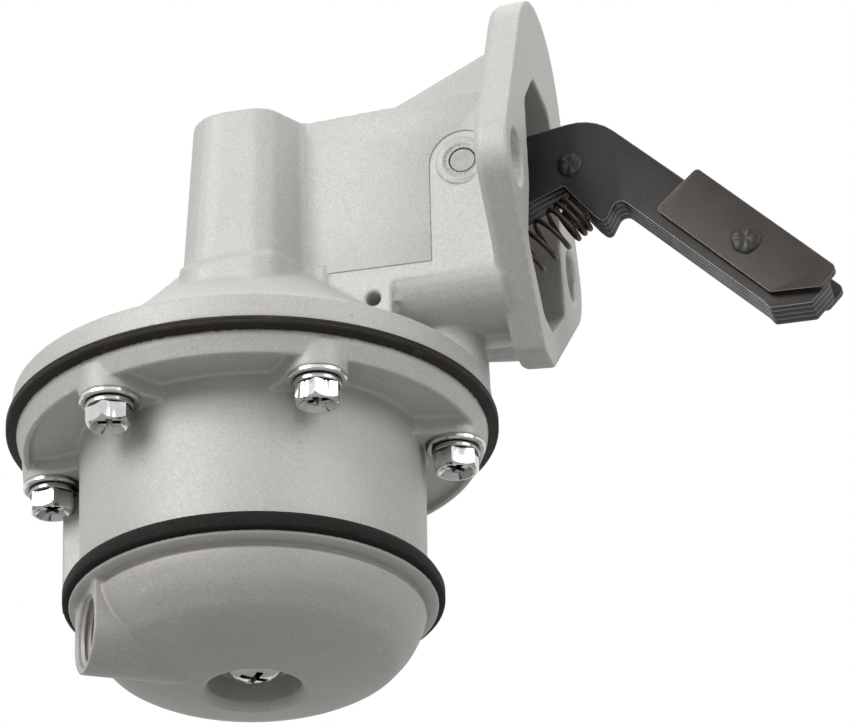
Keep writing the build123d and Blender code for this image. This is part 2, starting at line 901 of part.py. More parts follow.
with BuildPart() as outlet_valve_seat:
    with BuildSketch(level(out_seat_low)):
        with Locations((-valve_at, 0)):
            Circle(valve_r)
            Circle(valve_bore_r, mode=Mode.SUBTRACT)
    extrude(amount=valve_seat_t)

with BuildPart() as outlet_valve_disc:
    with BuildSketch(level(out_seat_low)):
        with Locations((-valve_at, 0)):
            Circle(disc_r)
    extrude(amount=-disc_t)

with BuildPart() as outlet_valve_cage:
    with BuildSketch(level(out_seat_low)):
        with Locations((-valve_at, 0)):
            Circle(valve_r)
    extrude(amount=-cage_h)
    with BuildSketch(level(out_seat_low)):
        with Locations((-valve_at, 0)):
            Circle(valve_r - cage_wall)
    extrude(amount=-(cage_h - cage_wall), mode=Mode.SUBTRACT)
    with BuildSketch(level(out_seat_low - cage_h)):
        with Locations((-valve_at, 0)):
            with PolarLocations(valve_r - cage_wall - cage_hole_r - 0.6, 6):
                Circle(cage_hole_r)
    extrude(amount=cage_wall, mode=Mode.SUBTRACT)

out_spring_low = out_seat_low - cage_h + cage_wall + valve_wire_r
with BuildPart() as outlet_valve_spring:
    with BuildLine(Plane(origin=(pump_x - valve_at, 0, split_z + out_spring_low))):
        out_path = Helix(valve_pitch, valve_spring_room - 2 * valve_wire_r, valve_spring_r)
    with BuildSketch(Plane(origin=out_path @ 0, z_dir=out_path % 0)):
        Circle(valve_wire_r)
    sweep(path=out_path, is_frenet=True)

# Flange screws with a plain and a split washer under each head
plain_low = -seat_h - washer_t
lock_low = plain_low - lock_t

with BuildPart() as flange_plain_washers:
    with BuildSketch(level(-seat_h)):
        with PolarLocations(screw_circle_r, screw_count, start_angle=screw_clock):
            Circle(washer_r)
            Circle(screw_r + 0.2, mode=Mode.SUBTRACT)
    extrude(amount=-washer_t)

with BuildPart() as flange_lock_washers:
    with BuildSketch(level(plain_low)):
        with PolarLocations(screw_circle_r, screw_count, start_angle=screw_clock):
            Circle(lock_r)
            Circle(screw_r + 0.2, mode=Mode.SUBTRACT)
            with Locations((lock_r - 1.0, 0)):
                Rectangle(lock_r - screw_r + 1.0, lock_gap, rotation=20, mode=Mode.SUBTRACT)
    extrude(amount=-lock_t)

with BuildPart() as flange_screws:
    with BuildSketch(level(screw_grip)):
        with PolarLocations(screw_circle_r, screw_count, start_angle=screw_clock):
            Circle(screw_r - fit_gap)
    extrude(amount=-(screw_grip - lock_low))
    with BuildSketch(level(lock_low)):
        with PolarLocations(screw_circle_r, screw_count, start_angle=screw_clock):
            RegularPolygon(screw_af / 2, 6, major_radius=False, rotation=15)
    extrude(amount=-screw_head_h)

with BuildPart() as cover_screw_washer:
    with BuildSketch(level(recess_floor)):
        Circle(cover_screw_head_r + 1.2)
        Circle(cover_screw_r + 0.2, mode=Mode.SUBTRACT)
    extrude(amount=-washer_t)

cover_head_top = recess_floor - washer_t
with BuildPart() as cover_screw:
    with BuildSketch(level(cover_head_top)):
        Circle(cover_screw_r - fit_gap)
    extrude(amount=valve_body_bottom + cover_thread - 1.5 - cover_head_top)
    with BuildSketch(level(cover_head_top)):
        Circle(cover_screw_head_r)
    extrude(amount=-cover_screw_head_h, taper=8)
    with BuildSketch(level(cover_head_top - cover_screw_head_h)):
        Rectangle(2 * slot_reach, slot_w, rotation=45)
        Rectangle(slot_w, 2 * slot_reach, rotation=45)
    extrude(amount=slot_depth, mode=Mode.SUBTRACT)

# Rocker arm: a riveted stack of laminations
stack_half = lamination_count * lamination_t / 2
seat_half = spring_mean_r + spring_wire_r + 0.1
tilt_cos = cos(radians(spring_tilt))
tilt_sin = sin(radians(spring_tilt))
seat_up = (spring_top_x - seat_half * tilt_sin, spring_top_h + seat_half * tilt_cos)
seat_down = (spring_top_x + seat_half * tilt_sin, spring_top_h - seat_half * tilt_cos)


def arm_outline(horn):
    """Side outline of one lamination, with or without the horn that guides the spring."""
    with BuildSketch(Plane.XY) as outline:
        Polygon(
            (pivot_x, pivot_h - hub_r),
            arm_belly,
            seat_up,
            seat_down,
            arm_lug,
            arm_neck,
            arm_under,
            arm_tip_back,
            arm_tip_low,
            arm_tip_high,
            arm_hump,
            (pivot_x, pivot_h + hub_r),
            align=None,
        )
        rounding = [
            (arm_hump, arm_hump_r),
            (arm_neck, arm_neck_r),
            (arm_lug, arm_corner_r),
            (arm_tip_low, arm_corner_r),
            (arm_tip_high, arm_corner_r),
        ]
        for corner, radius in rounding:
            fillet(outline.vertices().sort_by_distance((*corner, 0))[0], radius)
        with Locations((pivot_x, pivot_h)):
            Circle(hub_r)
        Polygon(
            (heel_x, heel_h - heel_drop),
            (pivot_x - 2, pivot_h - hub_r + 0.4),
            (pivot_x, pivot_h),
            (pivot_x - 5, heel_h),
            (heel_x + 1.5, heel_h),
            (heel_x, heel_h - 1.5),
            align=None,
        )
        if horn:
            mid_x = spring_top_x - horn_len * tilt_cos
            mid_z = spring_top_h - horn_len * tilt_sin
            Polygon(
                (spring_top_x - horn_half * tilt_sin, spring_top_h + horn_half * tilt_cos),
                (mid_x - 0.6 * horn_half * tilt_sin, mid_z + 0.6 * horn_half * tilt_cos),
                (mid_x + 0.6 * horn_half * tilt_sin, mid_z - 0.6 * horn_half * tilt_cos),
                (spring_top_x + horn_half * tilt_sin, spring_top_h - horn_half * tilt_cos),
                (spring_top_x + 2 * tilt_cos, spring_top_h + 2 * tilt_sin),
                align=None,
            )
        with Locations((pivot_x, pivot_h)):
            Circle(bush_r, mode=Mode.SUBTRACT)
        with Locations((arm_rivet_x, arm_rivet_h)):
            Circle(arm_rivet_r, mode=Mode.SUBTRACT)
        with Locations((pad_rivet_x, pad_rivet_h)):
            Circle(pad_rivet_r, mode=Mode.SUBTRACT)
    return outline.sketch


def slice_plane(y):
    """Upright plane across the pump at a given y, facing the near side."""
    return Plane(origin=(pump_x, y, split_z), x_dir=(1, 0, 0), z_dir=(0, -1, 0))


plain_outline = arm_outline(False)
horned_outline = arm_outline(True)

with BuildPart() as arm_lamination_1:
    with BuildSketch(slice_plane(-stack_half + lamination_t)):
        add(plain_outline)
    extrude(amount=lamination_t)

with BuildPart() as arm_lamination_2:
    with BuildSketch(slice_plane(-stack_half + 2 * lamination_t)):
        add(horned_outline)
    extrude(amount=lamination_t)

with BuildPart() as arm_lamination_3:
    with BuildSketch(slice_plane(-stack_half + 3 * lamination_t)):
        add(horned_outline)
    extrude(amount=lamination_t)

with BuildPart() as arm_lamination_4:
    with BuildSketch(slice_plane(-stack_half + 4 * lamination_t)):
        add(plain_outline)
    extrude(amount=lamination_t)

# Wear pads on both sides of the arm tip
with BuildSketch(Plane.XY) as pad_outline:
    Polygon(pad_heel, pad_low, pad_toe, pad_tip, pad_high, align=None)
    fillet(pad_outline.vertices(), pad_corner_r)
    with Locations((pad_rivet_x, pad_rivet_h)):
        Circle(pad_rivet_r, mode=Mode.SUBTRACT)

with BuildPart() as wear_pad_near:
    with BuildSketch(slice_plane(-stack_half)):
        add(pad_outline.sketch)
    extrude(amount=pad_t)

with BuildPart() as wear_pad_far:
    with BuildSketch(slice_plane(stack_half + pad_t)):
        add(pad_outline.sketch)
    extrude(amount=pad_t)

pad_half = stack_half + pad_t
with BuildPart() as pad_rivet:
    with BuildSketch(slice_plane(pad_half)):
        with Locations((pad_rivet_x, pad_rivet_h)):
            Circle(pad_rivet_r)
    extrude(amount=2 * pad_half)
    with BuildSketch(slice_plane(-pad_half)):
        with Locations((pad_rivet_x, pad_rivet_h)):
            Circle(pad_rivet_head_r)
    extrude(amount=rivet_head_h, taper=30)
    with BuildSketch(slice_plane(pad_half)):
        with Locations((pad_rivet_x, pad_rivet_h)):
            Circle(pad_rivet_head_r)
    extrude(amount=-rivet_head_h, taper=30)

with BuildPart() as arm_rivet:
    with BuildSketch(slice_plane(stack_half)):
        with Locations((arm_rivet_x, arm_rivet_h)):
            Circle(arm_rivet_r)
    extrude(amount=2 * stack_half)
    with BuildSketch(slice_plane(-stack_half)):
        with Locations((arm_rivet_x, arm_rivet_h)):
            Circle(arm_rivet_head_r)
    extrude(amount=rivet_head_h, taper=30)
    with BuildSketch(slice_plane(stack_half)):
        with Locations((arm_rivet_x, arm_rivet_h)):
            Circle(arm_rivet_head_r)
    extrude(amount=-rivet_head_h, taper=30)

# Bush pressed through the laminations and running on the pin
bush_half = pin_boss_inner - bush_room
with BuildPart() as rocker_bushing:
    with BuildSketch(slice_plane(bush_half)):
        with Locations((pivot_x, pivot_h)):
            Circle(bush_r)
            Circle(pin_r + run_gap, mode=Mode.SUBTRACT)
    extrude(amount=2 * bush_half)

with BuildPart() as pivot_pin:
    with BuildSketch(slice_plane(pin_half + pin_proud - 0.3)):
        with Locations((pivot_x, pivot_h)):
            Circle(pin_r)
    extrude(amount=2 * (pin_half + pin_proud - 0.3))

# Link lever: two cheeks beside the rocker, a web over its heel and a tongue to the pull rod
cheek_inner = stack_half + cheek_gap
with BuildPart() as link_lever:
    with BuildSketch(slice_plane(cheek_outer)):
        with Locations((pivot_x, pivot_h)):
            Circle(bush_r + 2.6)
        Polygon(
            (pivot_x, pivot_h - bush_r - 2.6),
            (pivot_x, pivot_h + bush_r + 2.6),
            (web_right, web_h + cheek_t + 0.6),
            (web_left, web_h + cheek_t + 0.6),
            (web_left, web_h - 5.5),
            align=None,
        )
    extrude(amount=2 * cheek_outer)
    with BuildSketch(level(web_h - 20)):
        with Locations(((web_left + 1.8 + pivot_x + 12) / 2, 0)):
            Rectangle(pivot_x + 12 - web_left - 1.8, 2 * cheek_inner)
    extrude(amount=20, mode=Mode.SUBTRACT)
    with BuildSketch(level(web_h)):
        with Locations(((web_right + pivot_x + 12) / 2, 0)):
            Rectangle(pivot_x + 12 - web_right, 2 * cheek_inner)
    extrude(amount=20, mode=Mode.SUBTRACT)
    tongue_low = pivot_h - tongue_thick / 2
    tongue_high = pivot_h + tongue_thick / 2
    with BuildSketch(slice_plane(tongue_half)) as tongue:
        Polygon(
            (tongue_end_x, tongue_low),
            (web_left + 1.0, tongue_low - 1.2),
            (web_left + 1.0, web_h + cheek_t),
            (web_left - 4.0, web_h),
            (web_left - 12.0, tongue_high),
            (tongue_end_x, tongue_high),
            align=None,
        )
        tips = tongue.vertices().group_by(Axis.X)[0]
        fillet(tips, 1.2)
    extrude(amount=2 * tongue_half)
    with BuildSketch(slice_plane(cheek_outer + 1)):
        with Locations((pivot_x, pivot_h)):
            Circle(bush_r + run_gap)
    extrude(amount=2 * cheek_outer + 2, mode=Mode.SUBTRACT)

# Rocker return spring, from its seat in the chamber to the notch in the arm
coil_len = spring_len - 2 * spring_wire_r
coil_start = (
    pump_x + seat_x + spring_wire_r * tilt_cos,
    0,
    split_z + seat_z + spring_wire_r * tilt_sin,
)
with BuildPart() as rocker_return_spring:
    with BuildLine():
        arm_path = Helix(
            coil_len / spring_turns,
            coil_len,
            spring_mean_r,
            center=coil_start,
            direction=spring_dir,
        )
    with BuildSketch(Plane(origin=arm_path @ 0, z_dir=arm_path % 0)):
        Circle(spring_wire_r)
    sweep(path=arm_path, is_frenet=True)

upper_housing.part.label = "upper_housing"
valve_body.part.label = "valve_body"
inlet_cover.part.label = "inlet_cover"
cover_gasket.part.label = "cover_gasket"
diaphragm.part.label = "diaphragm"
diaphragm_upper_plate.part.label = "diaphragm_upper_plate"
diaphragm_lower_plate.part.label = "diaphragm_lower_plate"
pull_rod.part.label = "pull_rod"
oil_seal.part.label = "oil_seal"
seal_retainer.part.label = "seal_retainer"
diaphragm_spring.part.label = "diaphragm_spring"
inlet_valve_seat.part.label = "inlet_valve_seat"
inlet_valve_disc.part.label = "inlet_valve_disc"
inlet_valve_cage.part.label = "inlet_valve_cage"
inlet_valve_spring.part.label = "inlet_valve_spring"
outlet_valve_seat.part.label = "outlet_valve_seat"
outlet_valve_disc.part.label = "outlet_valve_disc"
outlet_valve_cage.part.label = "outlet_valve_cage"
outlet_valve_spring.part.label = "outlet_valve_spring"
flange_plain_washers.part.label = "flange_plain_washers"
flange_lock_washers.part.label = "flange_lock_washers"
flange_screws.part.label = "flange_screws"
cover_screw_washer.part.label = "cover_screw_washer"
cover_screw.part.label = "cover_screw"
arm_lamination_1.part.label = "arm_lamination_1"
arm_lamination_2.part.label = "arm_lamination_2"
arm_lamination_3.part.label = "arm_lamination_3"
arm_lamination_4.part.label = "arm_lamination_4"
wear_pad_near.part.label = "wear_pad_near"
wear_pad_far.part.label = "wear_pad_far"
pad_rivet.part.label = "pad_rivet"
arm_rivet.part.label = "arm_rivet"
rocker_bushing.part.label = "rocker_bushing"
pivot_pin.part.label = "pivot_pin"
link_lever.part.label = "link_lever"
rocker_return_spring.part.label = "rocker_return_spring"

export_step(upper_housing.part, "parts/upper_housing.step")
export_step(valve_body.part, "parts/valve_body.step")
export_step(inlet_cover.part, "parts/inlet_cover.step")
export_step(cover_gasket.part, "parts/cover_gasket.step")
export_step(diaphragm.part, "parts/diaphragm.step")
export_step(diaphragm_upper_plate.part, "parts/diaphragm_upper_plate.step")
export_step(diaphragm_lower_plate.part, "parts/diaphragm_lower_plate.step")
export_step(pull_rod.part, "parts/pull_rod.step")
export_step(oil_seal.part, "parts/oil_seal.step")
export_step(seal_retainer.part, "parts/seal_retainer.step")
export_step(diaphragm_spring.part, "parts/diaphragm_spring.step")
export_step(inlet_valve_seat.part, "parts/inlet_valve_seat.step")
export_step(inlet_valve_disc.part, "parts/inlet_valve_disc.step")
export_step(inlet_valve_cage.part, "parts/inlet_valve_cage.step")
export_step(inlet_valve_spring.part, "parts/inlet_valve_spring.step")
export_step(outlet_valve_seat.part, "parts/outlet_valve_seat.step")
export_step(outlet_valve_disc.part, "parts/outlet_valve_disc.step")
export_step(outlet_valve_cage.part, "parts/outlet_valve_cage.step")
export_step(outlet_valve_spring.part, "parts/outlet_valve_spring.step")
export_step(flange_plain_washers.part, "parts/flange_plain_washers.step")
export_step(flange_lock_washers.part, "parts/flange_lock_washers.step")
export_step(flange_screws.part, "parts/flange_screws.step")
export_step(cover_screw_washer.part, "parts/cover_screw_washer.step")
export_step(cover_screw.part, "parts/cover_screw.step")
export_step(arm_lamination_1.part, "parts/arm_lamination_1.step")
export_step(arm_lamination_2.part, "parts/arm_lamination_2.step")
export_step(arm_lamination_3.part, "parts/arm_lamination_3.step")
export_step(arm_lamination_4.part, "parts/arm_lamination_4.step")
export_step(wear_pad_near.part, "parts/wear_pad_near.step")
export_step(wear_pad_far.part, "parts/wear_pad_far.step")
export_step(pad_rivet.part, "parts/pad_rivet.step")
export_step(arm_rivet.part, "parts/arm_rivet.step")
export_step(rocker_bushing.part, "parts/rocker_bushing.step")
export_step(pivot_pin.part, "parts/pivot_pin.step")
export_step(link_lever.part, "parts/link_lever.step")
export_step(rocker_return_spring.part, "parts/rocker_return_spring.step")
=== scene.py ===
"""Looks for the mechanical fuel pump: castings, screws, rocker arm, springs, light and camera.

Sizes are in millimetres. Heights count from the diaphragm joint and x counts from the pump axis.
TO_FRAME carries both into the part's own frame in metres.
"""

from math import acos, atan2, cos, exp, pi, radians, sin, sqrt, tan

import bmesh
import bpy
from mathutils import Matrix, Vector


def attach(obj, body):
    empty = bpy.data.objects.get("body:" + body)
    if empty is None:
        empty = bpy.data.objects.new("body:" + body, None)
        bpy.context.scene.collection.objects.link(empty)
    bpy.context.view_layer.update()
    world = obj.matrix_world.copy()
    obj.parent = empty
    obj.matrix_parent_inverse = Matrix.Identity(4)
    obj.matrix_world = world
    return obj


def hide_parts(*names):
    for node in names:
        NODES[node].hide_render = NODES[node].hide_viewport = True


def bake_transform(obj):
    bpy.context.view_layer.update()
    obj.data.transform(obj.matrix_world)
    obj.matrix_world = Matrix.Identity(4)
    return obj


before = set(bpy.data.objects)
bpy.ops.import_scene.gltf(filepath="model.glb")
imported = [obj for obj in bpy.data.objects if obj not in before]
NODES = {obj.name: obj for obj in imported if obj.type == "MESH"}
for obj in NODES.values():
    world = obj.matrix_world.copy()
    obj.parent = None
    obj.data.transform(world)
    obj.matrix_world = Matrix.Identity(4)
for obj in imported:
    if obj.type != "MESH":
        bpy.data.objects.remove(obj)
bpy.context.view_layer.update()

MM = 0.001
PUMP_X = -59.3
SPLIT_Z = -37.4
TO_FRAME = Matrix.Translation((PUMP_X * MM, 0, SPLIT_Z * MM)) @ Matrix.Scale(MM, 4)

# Camera, fitted to the photograph: angles in degrees, lengths in millimetres
CAMERA_AZIMUTH = 12.705
CAMERA_ELEVATION = -26.871
CAMERA_ROLL = -1.437
CAMERA_DISTANCE = 974.667
CAMERA_AIM_RIGHT = 33.701
CAMERA_AIM_UP = 13.153
PHOTO_WIDTH = 850
FOCAL_PIXELS = 5000.0
SENSOR_WIDTH = 36.0

# Light from below to above as (place, tone), and the floor's height in metres
SKY = [(0.0, 0.04), (0.42, 0.14), (0.6, 0.36), (1.0, 0.52)]
FLOOR_Z = -1.1

# Upper housing
BELL_R = 46.8
RIM_EDGE = (46.5, 5.2)
DIAPHRAGM_R = 47.7
RING_R = 22.3
RING_H = 22.7
RING_TOP_R = 15.4
RING_TOP_H = 30.0
BOX_TOP = 58.0
TOWER_LEFT = -7.4
TOWER_HALF = 22.5
TOWER_CREASE = 9.3
TOWER_RIGHT = 15.6
TOWER_DRAFT = tan(radians(3.0))
BOX_HALF_TOWER = 13.9
BOX_HALF_FLANGE = 17.3
BOX_EDGE_R = 8.0
BOX_BACK_X = 31.8
BOX_UNDER_BACK = 13.8
BOX_UNDER_FRONT = 12.6
BOX_WALL = 3.0
CHAMBER_FLOOR = 26.0
ROOF_START = 28.8
ROOF_TOP = 70.2
ROOF_HALF = 12.2
FLANGE_X = 59.3
FLANGE_T = 6.6
FLANGE_BACK = FLANGE_X - FLANGE_T
BOLT_Y = 25.4
BOLT_H = 37.4
BOLT_HOLE_R = 5.3
EAR_R = 9.8
CROWN = (0, 62.6, 21.0)
FOOT = (3.3, 8.9, 2.2)
MOUTH_HALF = [(4.0, 14.2), (17.2, 24.3), (14.4, 37.4), (16.2, 55.3), (7.0, 65.0)]
MOUTH_RADII = [4, 3.5, 0, 3.5, 4]
PILLAR_R = 7.4
DRAIN = (28.1, 16.8, 1.5)
PANEL_LOW = 22.6
PANEL_LEFT = 14.6
PANEL_RIGHT = 40.2
PANEL_CLEAR_R = 6.5
CLAMP_R = 33.5
SLOPE = (BOX_HALF_FLANGE - BOX_HALF_TOWER) / (FLANGE_BACK - TOWER_RIGHT)
ROOT_HALF = BOX_HALF_TOWER - SLOPE * TOWER_RIGHT

# Rocker, link and pin
PIVOT_X = 46.7
PIVOT_H = 43.3
PIN_R = 2.7
PIN_BOSS_R = 4.9
HUB_R = 9.0
PIN_HALF = BOX_HALF_TOWER + SLOPE * (PIVOT_X - TOWER_RIGHT)
LAMINATION_T = 1.85
STACK_HALF = 3.7
PAD_T = 1.5
PAD_RIVET = (99.2, 24.3)
ARM_RIVET = (65.2, 46.5)
SPRING_TOP = (66.7, 38.4)
SPRING_TILT = radians(37.5)
SPRING_MEAN_R = 4.0
SPRING_WIRE_R = 0.5

# Valve body and cover
SKIRT_TOP = -1.9
SKIRT_LOW = -6.15
WEB_LOW = -4.65
WALL_R = 33.5
WALL_FOOT_R = 33.2
BODY_LOW = -34.6
GASKET_R = 36.5
GASKET_LOW = -38.0
COVER_RIM_R = 35.2
COVER_RIM_LOW = -39.2
DOME_LOW = -55.3
RECESS_R = 8.9
RECESS_FLOOR = -48.8
SCREW_RING = 39.8
SCREW_CLOCK = 2.6
SEAT_LOW = -8.3
DISH_TOP = -12.5
DISH_LOW = -16.0
VALVE_AT = 14.5
VALVE_HOUSE_R = 10.5
VALVE_R = 8.02
PORT_R = 6.9
PORT_DEPTH = 11
PORT_DRILL_R = 4.3
THREAD_PITCH = 1.41
BOSS_HALF = 8.2
INLET_ANGLE = 210.5
INLET_REACH = 33.0
INLET_H = -46.65
OUTLET_ANGLE = 165.0
OUTLET_REACH = 37.7
OUTLET_H = -23.5


# Mesh building: every shape is a bmesh in millimetres until it becomes a piece


def shell(verts, faces):
    """A bmesh from points and faces, with its normals facing out."""
    bm = bmesh.new()
    made = [bm.verts.new(v) for v in verts]
    for f in faces:
        bm.faces.new([made[i] for i in f])
    bmesh.ops.recalc_face_normals(bm, faces=bm.faces)
    return bm


def grid_faces(rows, n):
    """Quads between rows that are closed rings of n points each."""
    faces = []
    for k in range(rows - 1):
        for i in range(n):
            j = (i + 1) % n
            faces.append((k * n + i, k * n + j, (k + 1) * n + j, (k + 1) * n + i))
    return faces


def sleeve_faces(rows, n):
    """Quads of a ring-shaped shell whose last two rows of points close its open side."""
    faces = grid_faces(rows, n)
    back, last = rows * n, (rows - 1) * n
    for i in range(n):
        j = (i + 1) % n
        faces.append((i, j, back + j, back + i))
        faces.append((last + i, last + j, back + n + j, back + n + i))
        faces.append((back + i, back + j, back + n + j, back + n + i))
    return faces


def loft(rings):
    """A closed solid through rings of points that have as many points each."""
    n = len(rings[0])
    verts = [p for ring in rings for p in ring]
    faces = grid_faces(len(rings), n)
    faces.append(tuple(range(n)))
    faces.append(tuple(reversed(range((len(rings) - 1) * n, len(rings) * n))))
    return shell(verts, faces)


def lathe(profile, steps=128, matrix=None):
    """A solid of revolution about local Z from a closed outline of (radius, height) points."""
    verts = []
    faces = []
    columns = []
    for radius, height in profile:
        if radius < 1e-6:
            columns.append([len(verts)] * steps)
            verts.append((0, 0, height))
        else:
            start = len(verts)
            columns.append([start + k for k in range(steps)])
            for k in range(steps):
                a = 2 * pi * k / steps
                verts.append((radius * cos(a), radius * sin(a), height))
    for a, b in zip(columns, columns[1:] + columns[:1]):
        for k in range(steps):
            m = (k + 1) % steps
            quad = list(dict.fromkeys((a[k], a[m], b[m], b[k])))
            if len(quad) > 2:
                faces.append(tuple(quad))
    bm = shell(verts, faces)
    if matrix:
        bm.transform(matrix)
    return bm


def rounded(points, radii, steps=6):
    """An outline with its corners rounded; radii is one number or one for each corner."""
    n = len(points)
    if not hasattr(radii, "__len__"):
        radii = [radii] * n
    out = []
    for i, r in enumerate(radii):
        p = Vector(points[i])
        a = (Vector(points[i - 1]) - p)
        b = (Vector(points[(i + 1) % n]) - p)
        if r <= 0:
            out.append(tuple(p))
            continue
        half = a.angle(b) / 2
        cut = min(r / tan(half), 0.49 * a.length, 0.49 * b.length)
        r = cut * tan(half)
        a.normalize()
        b.normalize()
        centre = p + (a + b).normalized() * (r / sin(half))
        start = p + a * cut - centre
        end = p + b * cut - centre
        for k in range(steps + 1):
            t = k / steps
            angle = pi - 2 * half
            w0 = sin((1 - t) * angle) / sin(angle)
            w1 = sin(t * angle) / sin(angle)
            q = centre + start * w0 + end * w1
            out.append(tuple(q))
    return out


def side_prism(outline, y0, y1):
    """A prism across the pump from an outline of (x, height) points."""
    return loft([[(x, y0, h) for x, h in outline], [(x, y1, h) for x, h in outline]])


def level_prism(outline, h0, h1):
    """A prism standing up from an outline of (x, y) points."""
    return loft([[(x, y, h0) for x, y in outline], [(x, y, h1) for x, y in outline]])


def flange_prism(outline, x0, x1):
    """A prism along X from an outline of (y, height) points."""
    return loft([[(x0, y, h) for y, h in outline], [(x1, y, h) for y, h in outline]])


def rod(start, end, radius, steps=64, end_radius=None):
    """A round bar between two points."""
    start, end = Vector(start), Vector(end)
    turn = (end - start).to_track_quat("Z", "Y").to_matrix().to_4x4()
    far = radius if end_radius is None else end_radius
    profile = [(0, 0), (radius, 0), (far, (end - start).length), (0, (end - start).length)]
    return lathe(profile, steps, Matrix.Translation(start) @ turn)


def merge(parts):
    """One bmesh that holds several shells."""
    whole = bmesh.new()
    for bm in parts:
        mesh = bpy.data.meshes.new("part")
        bm.to_mesh(mesh)
        whole.from_mesh(mesh)
        bpy.data.meshes.remove(mesh)
        bm.free()
    return whole


def add_object(name, data):
    """A new object in the scene."""
    obj = bpy.data.objects.new(name, data)
    bpy.context.scene.collection.objects.link(obj)
    return obj


def discard(obj):
    """Takes an object and its mesh out of the file."""
    mesh = obj.data
    bpy.data.objects.remove(obj)
    bpy.data.meshes.remove(mesh)


def raw_object(bm, name):
    """A plain object in the scene from a bmesh in millimetres."""
    mesh = bpy.data.meshes.new(name)
    bmesh.ops.triangulate(bm, faces=[f for f in bm.faces if len(f.verts) > 4])
    bm.to_mesh(mesh)
    bm.free()
    return add_object(name, mesh)


def apply_modifiers(obj):
    """Bakes an object's modifiers into its mesh."""
    graph = bpy.context.evaluated_depsgraph_get()
    mesh = bpy.data.meshes.new_from_object(obj.evaluated_get(graph))
    old = obj.data
    obj.modifiers.clear()
    obj.data = mesh
    bpy.data.meshes.remove(old)


def modify(obj, kind, **settings):
    """Adds a modifier with its settings."""
    mod = obj.modifiers.new(kind.lower(), kind)
    for key, value in settings.items():
        setattr(mod, key, value)
    return mod


def boolean(obj, tools, operation):
    """Unites or cuts with each of the tool shapes in turn."""
    for tool in tools:
        other = raw_object(tool, "tool")
        modify(obj, "BOOLEAN", object=other, operation=operation, solver="EXACT")
        apply_modifiers(obj)
        discard(other)


def casting(name, adds, cuts, voxel, smooth, triangles):
    """A cast shape: solids united and cut, then remeshed and softened to round every edge."""
    obj = raw_object(adds[0], name)
    boolean(obj, adds[1:], "UNION")
    boolean(obj, cuts, "DIFFERENCE")
    modify(obj, "REMESH", mode="VOXEL", voxel_size=voxel)
    modify(obj, "SMOOTH", factor=0.5, iterations=smooth)
    apply_modifiers(obj)
    count = sum(len(p.vertices) - 2 for p in obj.data.polygons)
    if count > triangles:
        modify(obj, "DECIMATE", ratio=triangles / count)
        apply_modifiers(obj)
    return obj


def finish_piece(obj, body, replaced, material, angle=None):
    """Moves a shape into the part's frame, dresses it, attaches it to its body and hides the part it
    stands for.
    """
    obj.data.transform(TO_FRAME)
    obj.data.materials.clear()
    obj.data.materials.append(material)
    obj.data.polygons.foreach_set("use_smooth", [True] * len(obj.data.polygons))
    if angle is not None:
        obj.data.set_sharp_from_angle(angle=radians(angle))
    obj.data.update()
    if body:
        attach(obj, body)
    if replaced:
        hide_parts(replaced)
    return obj


def soften(obj, width, angle, segments=2):
    """Bevels the edges of an object that are sharper than an angle in degrees."""
    limit = {"limit_method": "ANGLE", "angle_limit": radians(angle)}
    modify(obj, "BEVEL", width=width, segments=segments, **limit)
    apply_modifiers(obj)


def piece(name, bm, body, replaced, slot, material, bevel=0.0, angle=35, segments=2):
    """A machined or pressed piece, with a small bevel on its sharp edges."""
    obj = raw_object(bm, name)
    if bevel:
        soften(obj, bevel, angle, segments)
    return finish_piece(obj, body, replaced, material, angle=angle)


# Materials


def new_material(name):
    """A material with only its principled shader, and the tools to wire it."""
    mat = bpy.data.materials.new(name)
    mat.use_nodes = True
    return mat, mat.node_tree.nodes["Principled BSDF"], mat.node_tree


def add_node(tree, kind, **values):
    """A new node with some inputs set; underscores stand for the spaces in their names."""
    node = tree.nodes.new("ShaderNode" + kind)
    for name, value in values.items():
        node.inputs[name.replace("_", " ")].default_value = value
    return node


def noise_node(tree, scale, detail=3.0, roughness=0.55, stretch=None):
    """Noise over the object's own coordinates, in features of about 1/scale metres."""
    place = add_node(tree, "TexCoord").outputs["Object"]
    if stretch:
        mapping = add_node(tree, "Mapping", Scale=stretch)
        tree.links.new(place, mapping.inputs["Vector"])
        place = mapping.outputs["Vector"]
    tex = add_node(tree, "TexNoise", Scale=scale, Detail=detail, Roughness=roughness)
    tree.links.new(place, tex.inputs["Vector"])
    return tex.outputs["Fac"]


def ramp(tree, value, stops):
    """A colour ramp over a value."""
    node = add_node(tree, "ValToRGB")
    while len(node.color_ramp.elements) < len(stops):
        node.color_ramp.elements.new(0.5)
    for element, (place, colour) in zip(node.color_ramp.elements, stops):
        element.position = place
        element.color = (*colour, 1.0) if len(colour) == 3 else colour
    tree.links.new(value, node.inputs["Fac"])
    return node.outputs["Color"]


def grey(v):
    """A neutral colour."""
    return (v, v, v)


def mix(tree, factor, a, b):
    """A colour mix; each input is a socket or a colour."""
    node = add_node(tree, "Mix")
    node.data_type = "RGBA"
    for number, value in ((0, factor), (6, a), (7, b)):
        if isinstance(value, bpy.types.NodeSocket):
            tree.links.new(value, node.inputs[number])
        else:
            node.inputs[number].default_value = (*value, 1.0)
    return node.outputs[2]


def span(tree, value, low, high):
    """Stretches a value of about 0.3 to 0.7 over a range."""
    node = add_node(tree, "MapRange", From_Min=0.3, From_Max=0.7, To_Min=low, To_Max=high)
    tree.links.new(value, node.inputs["Value"])
    return node.outputs["Result"]


